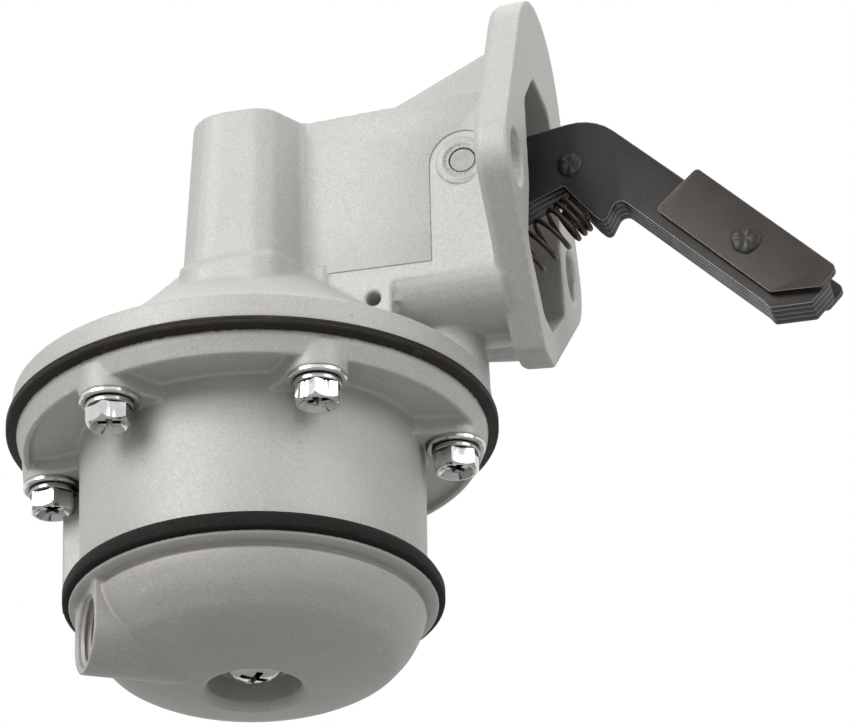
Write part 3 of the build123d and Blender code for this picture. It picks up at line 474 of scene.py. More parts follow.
def bump(tree, shader, layers):
    """Chains bumps: each layer is a height, a strength and a distance in metres."""
    last = None
    for height, strength, distance in layers:
        node = add_node(tree, "Bump", Strength=strength, Distance=distance)
        tree.links.new(height, node.inputs["Height"])
        if last:
            tree.links.new(last, node.inputs["Normal"])
        last = node.outputs["Normal"]
    tree.links.new(last, shader.inputs["Normal"])


def coat(tree, shader, colour, rough, metallic=0.0):
    """Sets a shader's colour and roughness from sockets, and its metallic value."""
    tree.links.new(colour, shader.inputs["Base Color"])
    tree.links.new(rough, shader.inputs["Roughness"])
    shader.inputs["Metallic"].default_value = metallic


def sharp_edges(tree, radius):
    """One along the edges of a piece with large flat faces, fading over a radius in metres."""
    geometry = add_node(tree, "NewGeometry")
    soft = add_node(tree, "Bevel", Radius=radius)
    soft.samples = 6
    match = add_node(tree, "VectorMath")
    match.operation = "DOT_PRODUCT"
    tree.links.new(geometry.outputs["Normal"], match.inputs[0])
    tree.links.new(soft.outputs["Normal"], match.inputs[1])
    node = add_node(tree, "MapRange", From_Min=0.995, From_Max=0.90)
    tree.links.new(match.outputs["Value"], node.inputs["Value"])
    return node.outputs["Result"]


def edge_wear(tree, low, high):
    """One on raised edges and zero elsewhere."""
    geometry = add_node(tree, "NewGeometry")
    node = add_node(tree, "MapRange", From_Min=low, From_Max=high)
    tree.links.new(geometry.outputs["Pointiness"], node.inputs["Value"])
    return node.outputs["Result"]


def cast_metal(name, base, stain, metallic=0.25, rough=(0.52, 0.66), grain=0.28):
    """Tumbled die-cast alloy: fine grain, cloudy tone, small dark pits and brighter edges."""
    mat, shader, tree = new_material(name)
    cloud = noise_node(tree, 55, 4, 0.6)
    grit = noise_node(tree, 1500, 3, 0.6)
    fleck = noise_node(tree, 3200, 2, 0.7)
    pits = noise_node(tree, 700, 2, 0.5)
    scuffs = noise_node(tree, 90, 5, 0.75)
    bright = tuple(min(1.0, 1.22 * c) for c in base)
    tone = mix(tree, span(tree, cloud, 0.0, 1.0), base, stain)
    grainy = mix(tree, span(tree, grit, 0.75, 0.0), tone, tuple(0.74 * c for c in base))
    flecked = mix(tree, span(tree, fleck, 0.0, 0.75), grainy, bright)
    pit = ramp(tree, pits, [(0.72, grey(0)), (0.78, grey(0.30))])
    pitted = mix(tree, pit, flecked, (0.12, 0.115, 0.10))
    scuff = ramp(tree, scuffs, [(0.64, grey(0)), (0.70, grey(0.5))])
    rubbed = mix(tree, scuff, pitted, bright)
    edged = mix(tree, edge_wear(tree, 0.55, 0.75), rubbed, bright)
    coat(tree, shader, edged, span(tree, grit, *rough), metallic)
    bump(tree, shader, [(cloud, 0.25, 0.0006), (grit, grain, 0.00012), (fleck, 0.12, 0.00005)])
    return mat


def plated_metal(name, base, rough=(0.18, 0.30), metallic=0.9):
    """Zinc-plated steel: bright, with faint streaks and tool marks, and painted shade that darkens its
    recesses and corners.
    """
    mat, shader, tree = new_material(name)
    cloud = noise_node(tree, 220, 3, 0.6)
    lines = noise_node(tree, 900, 2, 0.5, stretch=(1, 1, 6))
    dark = tuple(0.72 * c for c in base)
    tone = mix(tree, span(tree, cloud, 0.0, 0.8), base, dark)
    # painted shade: ambient occlusion darkens the colour towards near black in recesses, dishes and
    # corners
    corner = add_node(tree, "AmbientOcclusion", Distance=0.0028)
    corner.samples = 8
    painted_recess_shade = ramp(tree, corner.outputs["AO"], [(0.35, grey(0.92)), (0.85, grey(0))])
    colour = mix(tree, painted_recess_shade, tone, (0.035, 0.035, 0.033))
    coat(tree, shader, colour, span(tree, lines, *rough), metallic)
    bump(tree, shader, [(lines, 0.15, 0.00004), (cloud, 0.1, 0.0001)])
    return mat


def black_steel(name, base, worn, rough=(0.38, 0.55), metallic=0.55):
    """Black-oxide stamping: oily black, rubbed to bare steel along its edges."""
    mat, shader, tree = new_material(name)
    cloud = noise_node(tree, 140, 4, 0.6)
    grit = noise_node(tree, 1800, 2, 0.5)
    tone = mix(tree, span(tree, cloud, 0.0, 0.7), base, tuple(1.7 * c for c in base))
    rubbed = mix(tree, sharp_edges(tree, 0.0003), tone, worn)
    specks = ramp(tree, grit, [(0.74, grey(0)), (0.80, grey(0.25))])
    coat(tree, shader, mix(tree, specks, rubbed, worn), span(tree, cloud, *rough), metallic)
    bump(tree, shader, [(grit, 0.2, 0.00006), (cloud, 0.15, 0.0003)])
    return mat


def rubber_like(name, base, fleck_colour, rough=(0.6, 0.8), fleck=0.72):
    """Dark rubber or rubberised cloth with light dust in its pores."""
    mat, shader, tree = new_material(name)
    cloud = noise_node(tree, 160, 3, 0.6)
    grit = noise_node(tree, 1600, 3, 0.6)
    plies = noise_node(tree, 420, 3, 0.6, stretch=(0.4, 0.4, 5))
    tone = mix(tree, span(tree, cloud, 0.0, 0.8), base, tuple(1.7 * c for c in base))
    layered = mix(tree, ramp(tree, plies, [(0.60, grey(0)), (0.68, grey(0.35))]), tone, fleck_colour)
    dust = ramp(tree, grit, [(fleck, grey(0)), (fleck + 0.05, grey(0.6))])
    coat(tree, shader, mix(tree, dust, layered, fleck_colour), span(tree, grit, *rough))
    shader.inputs["Specular IOR Level"].default_value = 0.3
    bump(tree, shader, [(plies, 0.3, 0.0002), (grit, 0.4, 0.0002)])
    return mat


HOUSING = cast_metal("housing_casting", (0.55, 0.54, 0.515), (0.49, 0.48, 0.455))
BODY = cast_metal("valve_body_casting", (0.55, 0.54, 0.505), (0.47, 0.46, 0.43))
COVER = cast_metal("cover_casting", (0.48, 0.465, 0.43), (0.40, 0.39, 0.355))
GASKET = rubber_like(
    "gasket_rubber", (0.006, 0.005, 0.0045), (0.04, 0.036, 0.03), rough=(0.75, 0.9), fleck=0.80
)
DIAPHRAGM = rubber_like(
    "diaphragm_fabric", (0.017, 0.014, 0.011), (0.14, 0.125, 0.10), fleck=0.74
)
SEAL = rubber_like("seal_rubber", (0.02, 0.02, 0.02), (0.08, 0.08, 0.08))
PLATE = plated_metal("plate_steel", (0.55, 0.53, 0.48), rough=(0.3, 0.45))
ROD = plated_metal("rod_steel", (0.50, 0.49, 0.46), rough=(0.25, 0.4))
SPRING = plated_metal("spring_steel", (0.36, 0.34, 0.31), rough=(0.3, 0.45))
BRASS = plated_metal("valve_brass", (0.72, 0.55, 0.28), rough=(0.25, 0.4))
DISC = rubber_like("valve_plastic", (0.06, 0.06, 0.06), (0.12, 0.12, 0.12))
SCREW = plated_metal("screw_zinc", (0.70, 0.70, 0.685), rough=(0.10, 0.20), metallic=1.0)
WASHER = plated_metal("washer_zinc", (0.76, 0.76, 0.73), rough=(0.16, 0.28), metallic=1.0)
LOCK = plated_metal("lock_washer_steel", (0.62, 0.62, 0.60), rough=(0.18, 0.30), metallic=1.0)
ARM = black_steel("arm_black_steel", (0.024, 0.022, 0.020), (0.34, 0.33, 0.31))
PAD = black_steel("pad_steel", (0.034, 0.029, 0.025), (0.26, 0.21, 0.16))
RIVET = black_steel("rivet_steel", (0.036, 0.033, 0.030), (0.22, 0.20, 0.18))
PIN = plated_metal("pin_steel", (0.40, 0.39, 0.37), rough=(0.42, 0.58), metallic=0.5)
LINK = black_steel("link_steel", (0.10, 0.095, 0.085), (0.35, 0.33, 0.30))
ARM_SPRING = black_steel("arm_spring_steel", (0.050, 0.036, 0.026), (0.25, 0.21, 0.17))

NODE_MATERIALS = {
    "cover_gasket": GASKET,
    "diaphragm": DIAPHRAGM,
    "oil_seal": SEAL,
    "seal_retainer": PLATE,
    "diaphragm_upper_plate": PLATE,
    "diaphragm_lower_plate": PLATE,
    "pull_rod": ROD,
    "diaphragm_spring": SPRING,
    "flange_plain_washers": WASHER,
    "flange_lock_washers": LOCK,
    "flange_screws": SCREW,
    "cover_screw_washer": WASHER,
    "cover_screw": SCREW,
    "wear_pad_near": PAD,
    "wear_pad_far": PAD,
    "pad_rivet": RIVET,
    "arm_rivet": RIVET,
    "rocker_bushing": PIN,
    "pivot_pin": PIN,
    "link_lever": LINK,
    "rocker_return_spring": ARM_SPRING,
}
for number in range(1, 5):
    NODE_MATERIALS["arm_lamination_%d" % number] = ARM
for valve in ("inlet_valve_", "outlet_valve_"):
    for part, material in (("seat", BRASS), ("disc", DISC), ("cage", BRASS), ("spring", SPRING)):
        NODE_MATERIALS[valve + part] = material
for node, material in NODE_MATERIALS.items():
    NODES[node].data.materials.clear()
    NODES[node].data.materials.append(material)


# Upper housing


def tower_outline(h):
    """Plan of the tower and box walls at a height, with the tower's draft."""
    grow = (BOX_TOP - h) * TOWER_DRAFT
    side = TOWER_HALF + grow
    inner = TOWER_RIGHT - 1.1
    end = FLANGE_BACK + 1
    left = TOWER_LEFT - grow
    half = [(left, side), (TOWER_CREASE, side)]
    half += [(x, ROOT_HALF + SLOPE * x) for x in (inner, end)]
    radii = [8.0, 5.0, 2.4, 0]
    points = [(x, -y) for x, y in half] + [(x, y) for x, y in reversed(half)]
    return rounded(points, radii + radii[::-1])


def box_ring(x, low, radius):
    """Section of the box at x, with its lower corners rounded."""
    half = ROOT_HALF + SLOPE * x
    points = [(-half, 30), (-half, low), (half, low), (half, 30)]
    return [(x, y, h) for y, h in rounded(points, [0, radius, radius, 0], steps=8)]


def tower_collar():
    """The low step round the tower's foot, cut off above by a cone."""
    centre_x, proud, steps = 3.2, 1.0, 180
    rings = []
    for h in (16.0, 20.0, 22.0, 23.0, 23.8, 24.4, 25.0, 25.6):
        outline = tower_outline(h)
        cone = 24.2 + (25.4 - h) / 1.06
        ring = []
        for k in range(steps):
            a = 2 * pi * k / steps
            wall = ray_reach(outline, centre_x, a)
            stand = proud if wall * cos(a) < 15.0 else -0.6
            r = max(min(wall + stand, cone), min(wall, cone) - 1.0)
            ring.append((centre_x + r * cos(a), r * sin(a), h))
        rings.append(ring)
    return loft(rings)


def ray_reach(outline, centre_x, angle):
    """How far an outline is from a point on the X axis, along an angle."""
    dx, dy = cos(angle), sin(angle)
    best = 0.0
    for (x0, y0), (x1, y1) in zip(outline, outline[1:] + outline[:1]):
        ex, ey = x1 - x0, y1 - y0
        cross = dx * ey - dy * ex
        if abs(cross) < 1e-9:
            continue
        reach = ((x0 - centre_x) * ey - y0 * ex) / cross
        along = ((x0 - centre_x) * dy - y0 * dx) / cross
        if reach > 0 and -1e-6 <= along <= 1 + 1e-6:
            best = max(best, reach)
    return best


def hull_outline(circles, steps=96):
    """Outline of (y, height) points round several circles, as a tight band would lie."""
    points = []
    for k in range(steps * len(circles)):
        a = 2 * pi * k / (steps * len(circles))
        y, h, r = max(circles, key=lambda c: c[0] * cos(a) + c[1] * sin(a) + c[2])
        points.append((y + r * cos(a), h + r * sin(a)))
    return points


def flange_circles(inset=0.0):
    """The circles that the flange's outline goes round."""
    y, h, r = CROWN
    foot_y, foot_h, foot_r = FOOT
    ears = [(s * BOLT_Y, BOLT_H, EAR_R - inset) for s in (-1, 1)]
    feet = [(s * foot_y, foot_h, foot_r - inset) for s in (-1, 1)]
    return [(y, h, r - inset)] + ears + feet


def mouth_outline():
    """Outline of the mouth through the flange."""
    points = MOUTH_HALF + [(-y, h) for y, h in reversed(MOUTH_HALF)]
    return rounded(points, MOUTH_RADII + MOUTH_RADII[::-1])


def housing_adds():
    """The solids that the upper casting is united from."""
    edge_r, edge_h = RIM_EDGE
    bell = [(0, 0), (BELL_R, 0)]
    for k in range(20):
        t = k / 20
        sag = 4 * t * (1 - t)
        r = edge_r + (RING_R - edge_r) * t - 0.4 * sag
        bell.append((r, edge_h + (RING_H - edge_h) * t - 1.25 * sag))
    bell += [(RING_R, RING_H), (RING_TOP_R, RING_TOP_H), (0, RING_TOP_H)]
    walls = loft([[(x, y, h) for x, y in tower_outline(h)] for h in (20.0, 40.0, BOX_TOP)])
    column = loft([box_ring(x, 5, 0) for x in (4.0, BOX_BACK_X)])
    under = loft([
        box_ring(BOX_BACK_X - 1, BOX_UNDER_BACK, BOX_EDGE_R),
        box_ring(FLANGE_BACK + 1, BOX_UNDER_FRONT, BOX_EDGE_R),
    ])
    roof = [(ROOF_START, BOX_TOP - 2), (ROOF_START, BOX_TOP), (FLANGE_BACK + 1, ROOF_TOP + 0.5)]
    roof.append((FLANGE_BACK + 1, BOX_TOP - 2))
    pillar = rod((SCREW_RING, 0, 2), (SCREW_RING, 0, 18), PILLAR_R, 96, 7.0)
    rib = side_prism([(40, 9.6), (53, 9.6), (53, 16), (40, 16)], -1.6, 1.6)
    plate = loft([
        [(FLANGE_X, y, h) for y, h in hull_outline(flange_circles())],
        [(FLANGE_BACK + 1.2, y, h) for y, h in hull_outline(flange_circles(0.3))],
        [(FLANGE_BACK, y, h) for y, h in hull_outline(flange_circles(1.1))],
    ])
    adds = [lathe(bell, 160), walls, column, under, side_prism(roof, -ROOF_HALF, ROOF_HALF)]
    adds += [pillar, rib, plate, tower_collar()]
    for s in (-1, 1):
        tip = (PIVOT_X, s * (PIN_HALF + 0.1), PIVOT_H)
        adds.append(rod((PIVOT_X, s * 6.1, PIVOT_H), tip, PIN_BOSS_R, 64))
    return adds


def housing_cuts():
    """What is cut out of the upper casting: chamber, sump, mouth and holes."""
    inside = ROOT_HALF - BOX_WALL
    start, end = TOWER_LEFT + BOX_WALL, FLANGE_BACK
    end_y = inside + SLOPE * end
    plan = [(start, -inside), (end, -end_y), (end, end_y), (start, inside)]
    chamber = level_prism(plan, CHAMBER_FLOOR, BOX_TOP - BOX_WALL)

    def low_ring(x, low):
        half = inside + SLOPE * x
        corner = [(-half, 30), (-half, low), (half, low), (half, 30)]
        return [(x, y, h) for y, h in rounded(corner, [0, 5, 5, 0], steps=6)]

    steps = ((26.0, CHAMBER_FLOOR), (BOX_BACK_X + 4, 17.6), (end, 15.6))
    sump = loft([low_ring(x, h) for x, h in steps])
    step = ROOF_START + 7
    hollow = [(step, 54), (step, 57.4), (end, ROOF_TOP - 2.6), (end, 54)]
    mouth = flange_prism(mouth_outline(), FLANGE_BACK - 0.5, FLANGE_X + 1)
    cavity = lathe([(0, -1), (CLAMP_R, -1), (CLAMP_R, 0), (32.0, 6.0), (19.0, 17.5), (0, 17.5)], 96)
    cuts = [cavity, chamber, sump, side_prism(hollow, -9.2, 9.2), mouth]
    hole = (FLANGE_BACK - 1, FLANGE_X + 1, BOLT_HOLE_R)
    lead = (FLANGE_X - 0.6, FLANGE_X + 0.8, BOLT_HOLE_R + 0.9)
    for s in (-1, 1):
        for x0, x1, far in (hole, lead):
            cuts.append(rod((x0, s * BOLT_Y, BOLT_H), (x1, s * BOLT_Y, BOLT_H), BOLT_HOLE_R, 64, far))
    x, h, r = DRAIN
    cuts.append(rod((x, -30, h), (x, -8, h), r, 32))
    cuts.append(rod((0, 0, 16), (0, 0, 30), 3.4, 48))
    cuts.append(rod((PIVOT_X, -30, PIVOT_H), (PIVOT_X, 30, PIVOT_H), PIN_R + 0.02, 64))
    return cuts


def make_housing():
    """The upper casting, with its chamber, mouth and holes."""
    obj = casting("housing_shell", housing_adds(), housing_cuts(), 0.4, 5, 198000)
    finish_piece(obj, "housing", "upper_housing", HOUSING)


def smooth_line(points, steps=8):
    """Points along a smooth curve through the given ones."""
    out = []
    ends = [points[0]] + list(points) + [points[-1]]
    for k in range(1, len(ends) - 2):
        a, b, c, d = (Vector(p) for p in ends[k - 1:k + 3])
        for i in range(steps):
            t = i / steps
            bend = (2 * a - 5 * b + 4 * c - d) * t * t + (3 * b - a - 3 * c + d) * t**3
            out.append(tuple(0.5 * (2 * b + (c - a) * t + bend)))
    return out + [tuple(points[-1])]


def round_the_axis(bm, angle, radius, height=0.0, spin=0.0):
    """Moves a shape out from the pump axis, turned to stand at an angle round it."""
    place = Matrix.Rotation(radians(angle), 4, "Z") @ Matrix.Translation((radius, 0, height))
    bm.transform(place @ Matrix.Rotation(radians(spin), 4, "Z"))
    return bm


def port_matrix(angle, reach, height):
    """The frame of a port: local Z points out of it."""
    a = radians(angle)
    out = Vector((cos(a), sin(a), 0))
    turn = out.to_track_quat("Z", "Y").to_matrix().to_4x4()
    return Matrix.Translation((reach * out.x, reach * out.y, height)) @ turn


def side_panel():
    """The raised face on the near side of the box, cut away round the pin and below it."""
    clear, right, end = PANEL_CLEAR_R, PANEL_RIGHT, FLANGE_BACK + 0.4
    start = atan2(-sqrt(clear**2 - (PIVOT_X - right) ** 2), right - PIVOT_X) % (2 * pi)
    finish = acos((end - PIVOT_X) / clear)
    arc = [start + (finish - start) * k / 24 for k in range(25)]
    outline = [(PANEL_LEFT, PANEL_LOW + 1.35), (right, PANEL_LOW)]
    outline += [(PIVOT_X + clear * cos(a), PIVOT_H + clear * sin(a)) for a in arc]
    outline += [(end, BOX_TOP - 0.3), (PANEL_LEFT, BOX_TOP - 0.3)]
    bm = side_prism(outline, -0.28, 0.5)
    place = Matrix.Translation((0, -ROOT_HALF, 0)) @ Matrix.Rotation(-atan2(SLOPE, 1), 4, "Z")
    bm.transform(place)
    piece("side_panel", bm, "housing", "upper_housing", "housing_casting", HOUSING, bevel=0.2)


def stake_ring(side):
    """The casting's surface round one end of the pin, staked over it in a ring of dents."""
    inner, outer, rings, steps = PIN_R + 0.02, 5.3, 22, 180
    verts = []
    for k in range(rings):
        r = inner + (outer - inner) * k / (rings - 1)
        for i in range(steps):
            a = 2 * pi * i / steps
            dent = 0.32 * (0.6 - 0.4 * cos(21 * a)) * exp(-(((r - 3.2) / 0.25) ** 2))
            lip = 0.16 * exp(-(((r - 4.0) / 0.45) ** 2)) * (0.8 + 0.3 * sin(3 * a))
            edge = 0.30 * max(0.0, (r - 4.75) / 0.55) ** 2
            verts.append((r * cos(a), r * sin(a), 0.22 + lip - dent - edge))
    verts += [(x, y, -1.0) for x, y, z in verts[:steps] + verts[-steps:]]
    bm = shell(verts, sleeve_faces(rings, steps))
    turn = Matrix.Rotation(radians(90 * side), 4, "X")
    bm.transform(Matrix.Translation((PIVOT_X, -side * PIN_HALF, PIVOT_H)) @ turn)
    name = "stake_ring_near" if side > 0 else "stake_ring_far"
    piece(name, bm, "housing", "upper_housing", "housing_casting", HOUSING, angle=50)


def pin_end():
    """The pivot pin, with small rounded ends."""
    half = PIN_HALF + 0.12
    profile = [(0, -half), (PIN_R - 0.35, -half), (PIN_R, -half + 0.25), (PIN_R, half - 0.25)]
    profile += [(PIN_R - 0.35, half), (0, half)]
    turn = Matrix.Translation((PIVOT_X, 0, PIVOT_H)) @ Matrix.Rotation(radians(90), 4, "X")
    bm = lathe(profile, 64, turn)
    piece("pivot_pin_visible", bm, "housing", "pivot_pin", "pin_steel", PIN)


# Valve body and cover


def boss_outline(r):
    """Plan of a screw boss: round outside, and flared where it runs into the wall."""
    root = WALL_R - SCREW_RING
    flare = [(-2.5, 1.5), (-0.2, 1.3), (0.7, 0.8), (2.6, 0.35)]
    flare = [(root + x, r + y) for x, y in flare]
    tip = [(r * cos(radians(a)), r * sin(radians(a))) for a in range(90, -91, -6)]
    return flare + tip + [(x, -y) for x, y in reversed(flare)]


def make_valve_body():
    """The lower casting, with its screw bosses, valve pockets and outlet port."""
    outline = [(0, DISH_TOP), (26.0, DISH_TOP), (30.2, -6.6), (31.5, SKIRT_TOP), (45.7, SKIRT_TOP)]
    outline += [(45.5, -3.2), (44.2, SKIRT_LOW), (43.2, SKIRT_LOW - 0.05), (42.6, WEB_LOW)]
    outline += [(WALL_R + 0.3, WEB_LOW), (WALL_R, WEB_LOW - 0.3), (WALL_FOOT_R, BODY_LOW)]
    outline += [(30.0, BODY_LOW), (29.6, DISH_LOW), (0, DISH_LOW)]
    adds = [lathe(outline, 160)]
    for k in range(6):
        rings = []
        for h, r in ((-3.0, 6.1), (SEAT_LOW, 5.65)):
            rings.append([(x, y, h) for x, y in boss_outline(r)])
        adds.append(round_the_axis(loft(rings), SCREW_CLOCK + 60 * k, SCREW_RING))
    for x, low in ((VALVE_AT, -24), (-VALVE_AT, -30.5)):
        adds.append(rod((x, 0, -15), (x, 0, low), VALVE_HOUSE_R, 64))
    adds.append(rod((0, 0, -15), (0, 0, BODY_LOW), 6.5, 64))
    boss = port_matrix(OUTLET_ANGLE, OUTLET_REACH, OUTLET_H)
    plan = [(VALVE_AT, -9.2), (OUTLET_REACH, -9.3), (OUTLET_REACH, 9.3), (VALVE_AT, 9.2)]
    block = level_prism(rounded(plan, [0, 1.0, 1.0, 0]), BODY_LOW + 0.6, WEB_LOW)
    block.transform(Matrix.Rotation(radians(OUTLET_ANGLE), 4, "Z"))
    adds.append(block)
    cuts = [rod((x, 0, -12), (x, 0, -21.5), VALVE_R, 64) for x in (VALVE_AT, -VALVE_AT)]
    for x, low, r in ((VALVE_AT, -26, 5.2), (-VALVE_AT, -27.5, 5.8)):
        cuts.append(rod((x, 0, -20), (x, 0, low), r, 48))
    cuts += port_cuts(boss, OUTLET_REACH - VALVE_AT)
    cuts.append(rod((0, 0, BODY_LOW - 1), (0, 0, BODY_LOW + 12), 3.0, 48))
    for k in range(6):
        hole = rod((0, 0, -2), (0, 0, -10), 2.7, 32)
        cuts.append(round_the_axis(hole, SCREW_CLOCK + 60 * k, SCREW_RING))
    obj = casting("valve_body_shell", adds, cuts, 0.32, 2, 197000)
    finish_piece(obj, "housing", "valve_body", BODY)
    thread_sleeve("outlet_thread", boss, "valve_body", "valve_body_casting", BODY)


def port_cuts(place, depth):
    """A port's tapping hole with its lead-in, and the drilled hole behind it."""
    r, lead = PORT_R, PORT_R + 0.4
    tap = [(0, 1), (lead, 1), (lead, 0), (r, -0.4), (r, -PORT_DEPTH), (0, -PORT_DEPTH)]
    drill = [(0, 0), (PORT_DRILL_R, 0), (PORT_DRILL_R, -depth), (0, -depth)]
    return [lathe(tap, 96, place), lathe(drill, 64, place)]


def thread_sleeve(name, place, replaced, slot, material):
    """The pipe thread inside a port."""
    pitch, depth, steps, per_turn = THREAD_PITCH, 10.5, 96, 8
    rows = int(depth / pitch * per_turn)
    verts = []
    for k in range(rows + 1):
        z = -0.7 - (depth - 0.7) * k / rows
        for i in range(steps):
            phase = (z / pitch + i / steps) % 1.0
            ridge = 1 - abs(2 * phase - 1)
            crest = min(1.0, max(0.0, 1.35 * ridge - 0.15)) * min(1.0, (-z - 0.7) / 1.0 + 0.15)
            r = PORT_R + 0.03 - 0.62 * crest
            a = 2 * pi * i / steps
            verts.append((r * cos(a), r * sin(a), z))
    outer = PORT_R + 0.5
    for z in (-0.7, -depth):
        for i in range(steps):
            a = 2 * pi * i / steps
            verts.append((outer * cos(a), outer * sin(a), z))
    bm = shell(verts, sleeve_faces(rows + 1, steps))
    bm.transform(place)
    piece(name, bm, "housing", replaced, slot, material, angle=70)


def make_cover():
    """The domed cover, with its recess and inlet port."""
    dome = [(RECESS_R + 1.6, DOME_LOW), (17.8, -53.8), (23.1, -52.0), (26.9, -50.0)]
    dome += [(28.95, -48.0), (30.55, -46.0), (31.65, -44.0), (32.5, -42.0), (32.9, COVER_RIM_LOW - 1.3)]
    outline = [(0, -45.8), (0, RECESS_FLOOR), (RECESS_R, RECESS_FLOOR), (RECESS_R, DOME_LOW + 1.4)]
    outline += [(RECESS_R + 0.5, DOME_LOW + 0.4)] + smooth_line(dome, 6)
    outline += [(32.1, COVER_RIM_LOW - 0.5), (32.1, COVER_RIM_LOW + 0.1), (34.1, COVER_RIM_LOW)]
    outline += [(COVER_RIM_R, COVER_RIM_LOW + 0.5), (COVER_RIM_R + 0.1, GASKET_LOW), (29.0, GASKET_LOW)]
    outline += [(29.0, -41.9), (26.4, -44.9), (22.0, -47.6), (11.5, -51.1), (11.5, -45.8)]
    boss = port_matrix(INLET_ANGLE, INLET_REACH, INLET_H)
    turned = Matrix.Rotation(radians(INLET_ANGLE), 4, "Z")
    half, top = BOSS_HALF, GASKET_LOW - 0.7
    ring = [(half * sin(radians(a)), INLET_H - half * cos(radians(a))) for a in range(-90, 91, 6)]
    ring += [(half, top), (-half, top)]
    block = loft([[(x, y, h) for y, h in ring] for x in (13.0, INLET_REACH)])
    block.transform(turned)
    clear = [(y, min(h, COVER_RIM_LOW)) for y, h in ring]
    front = loft([[(x, y, h) for y, h in clear] for x in (INLET_REACH, COVER_RIM_R + 1)])
    front.transform(turned)
    cuts = port_cuts(boss, 15) + [rod((0, 0, -45), (0, 0, -50), 3.3, 48), front]
    obj = casting("cover_shell", [lathe(outline, 160), block], cuts, 0.3, 2, 197000)
    finish_piece(obj, "housing", "inlet_cover", COVER)
    thread_sleeve("inlet_thread", boss, "inlet_cover", "cover_casting", COVER)


def make_seals():
    """The thick cover gasket and the diaphragm's edge, each with its plies and moulding lines."""
    low, high, r = GASKET_LOW, BODY_LOW, GASKET_R
    profile = [(30.0, low), (r - 0.5, low), (r - 0.1, low + 0.25), (r, low + 0.6), (r, high - 1.0)]
    profile += [(r - 0.15, high - 0.85), (r - 0.5, high - 0.1), (r - 0.8, high), (30.0, high)]
    ring = lathe(profile, 180)
    piece("cover_gasket_ring", ring, "housing", "cover_gasket", "gasket_rubber", GASKET, angle=60)
    r = DIAPHRAGM_R
    edge = [(CLAMP_R, 0), (r - 0.3, 0), (r, -0.2), (r - 0.02, -0.7), (r - 0.1, -0.8), (r, -0.9)]
    edge += [(r - 0.02, -1.35), (r - 0.12, -1.45), (r - 0.02, SKIRT_TOP + 0.3), (r - 0.3, SKIRT_TOP)]
    edge += [(CLAMP_R, SKIRT_TOP), (31.0, -3.5), (23.0, -6.4), (3.02, -6.4), (3.02, -4.8)]
    edge += [(23.0, -4.8), (31.0, -1.9), (CLAMP_R, -0.8)]
    sheet = lathe(edge, 200)
    piece("diaphragm_sheet", sheet, "housing", "diaphragm", "diaphragm_fabric", DIAPHRAGM, angle=60)


# Fasteners


def cross_recess(turns, wide, tight):
    """The slots of a cross recess; wide and tight are (half length, half width, height)."""
    slots = []
    for turn in turns:
        slot = loft([[(-a, -b, h), (a, -b, h), (a, b, h), (-a, b, h)] for a, b, h in (wide, tight)])
        slot.transform(Matrix.Rotation(radians(turn), 4, "Z"))
        slots.append(slot)
    return slots


def hex_screw():
    """One flange screw, head down, with its chamfer, dished end and cross recess."""
    top, low = -10.5, -14.0
    barrel = [(0, low + 1.0), (2.3, low + 0.95), (3.15, low + 0.25), (3.4, low), (3.75, low)]
    barrel += [(4.3, low + 0.35), (4.75, low + 0.95), (4.75, top), (0, top)]
    head = raw_object(lathe(barrel, 96), "head")
    reach = 4.0 / cos(radians(30))
    corners = [radians(60 * k + 15) for k in range(6)]
    hexagon = [(reach * cos(a), reach * sin(a)) for a in corners]
    boolean(head, [level_prism(hexagon, low - 1, top)], "INTERSECT")
    cross = cross_recess((30, 120), (2.9, 0.75, low + 0.15), (1.1, 0.4, low + 2.4))
    boolean(head, cross, "DIFFERENCE")
    soften(head, 0.09, 28)
    bm = bmesh.new()
    bm.from_mesh(head.data)
    discard(head)
    shank = rod((0, 0, top), (0, 0, 5.4), 2.48, 32)
    return merge([bm, shank])


def split_washer():
    """One spring washer, with its cut ends a little apart."""
    steps, gap = 60, radians(13)
    top, t, inner, outer, lift = -9.3, 1.05, 2.75, 4.6, 0.12
    section = [(inner, 0), (outer - 0.15, 0), (outer, -0.15)]
    section += [(outer, -t + 0.15), (outer - 0.15, -t), (inner, -t)]
    verts = []
    for k in range(steps + 1):
        a = gap / 2 + (2 * pi - gap) * k / steps
        h = top - lift * (1 - k / steps)
        verts += [(r * cos(a), r * sin(a), h + dh) for r, dh in section]
    n = len(section)
    faces = [tuple(range(n)), tuple(reversed(range(steps * n, steps * n + n)))]
    return shell(verts, faces + grid_faces(steps + 1, n))


def plain_washer():
    """One flat washer with rounded edges."""
    top, r, t, inner = SEAT_LOW, 5.75, 1.0, 2.75
    profile = [(inner, top), (r - 0.1, top), (r, top - 0.12)]
    profile += [(r, top - t + 0.3), (r - 0.3, top - t), (inner, top - t)]
    return lathe(profile, 72)


def around(maker, spins):
    """Six copies of a fastener, each turned by its own angle."""
    copies = []
    for k, spin in enumerate(spins):
        copies.append(round_the_axis(maker(), SCREW_CLOCK + 60 * k, SCREW_RING, 0, spin))
    return merge(copies)


def make_fasteners():
    """Six flange screws with their washers."""
    screws = around(hex_screw, [14, 40, 17, 31, 11, 22])
    piece("hex_screws", screws, "housing", "flange_screws", "screw_zinc", SCREW, angle=24)
    locks = around(split_washer, [40, 190, 75, 200, 255, 130])
    piece("split_washers", locks, "housing", "flange_lock_washers", "lock_washer_steel", LOCK)
    flats = around(plain_washer, [0] * 6)
    piece("plain_washers", flats, "housing", "flange_plain_washers", "washer_zinc", WASHER)


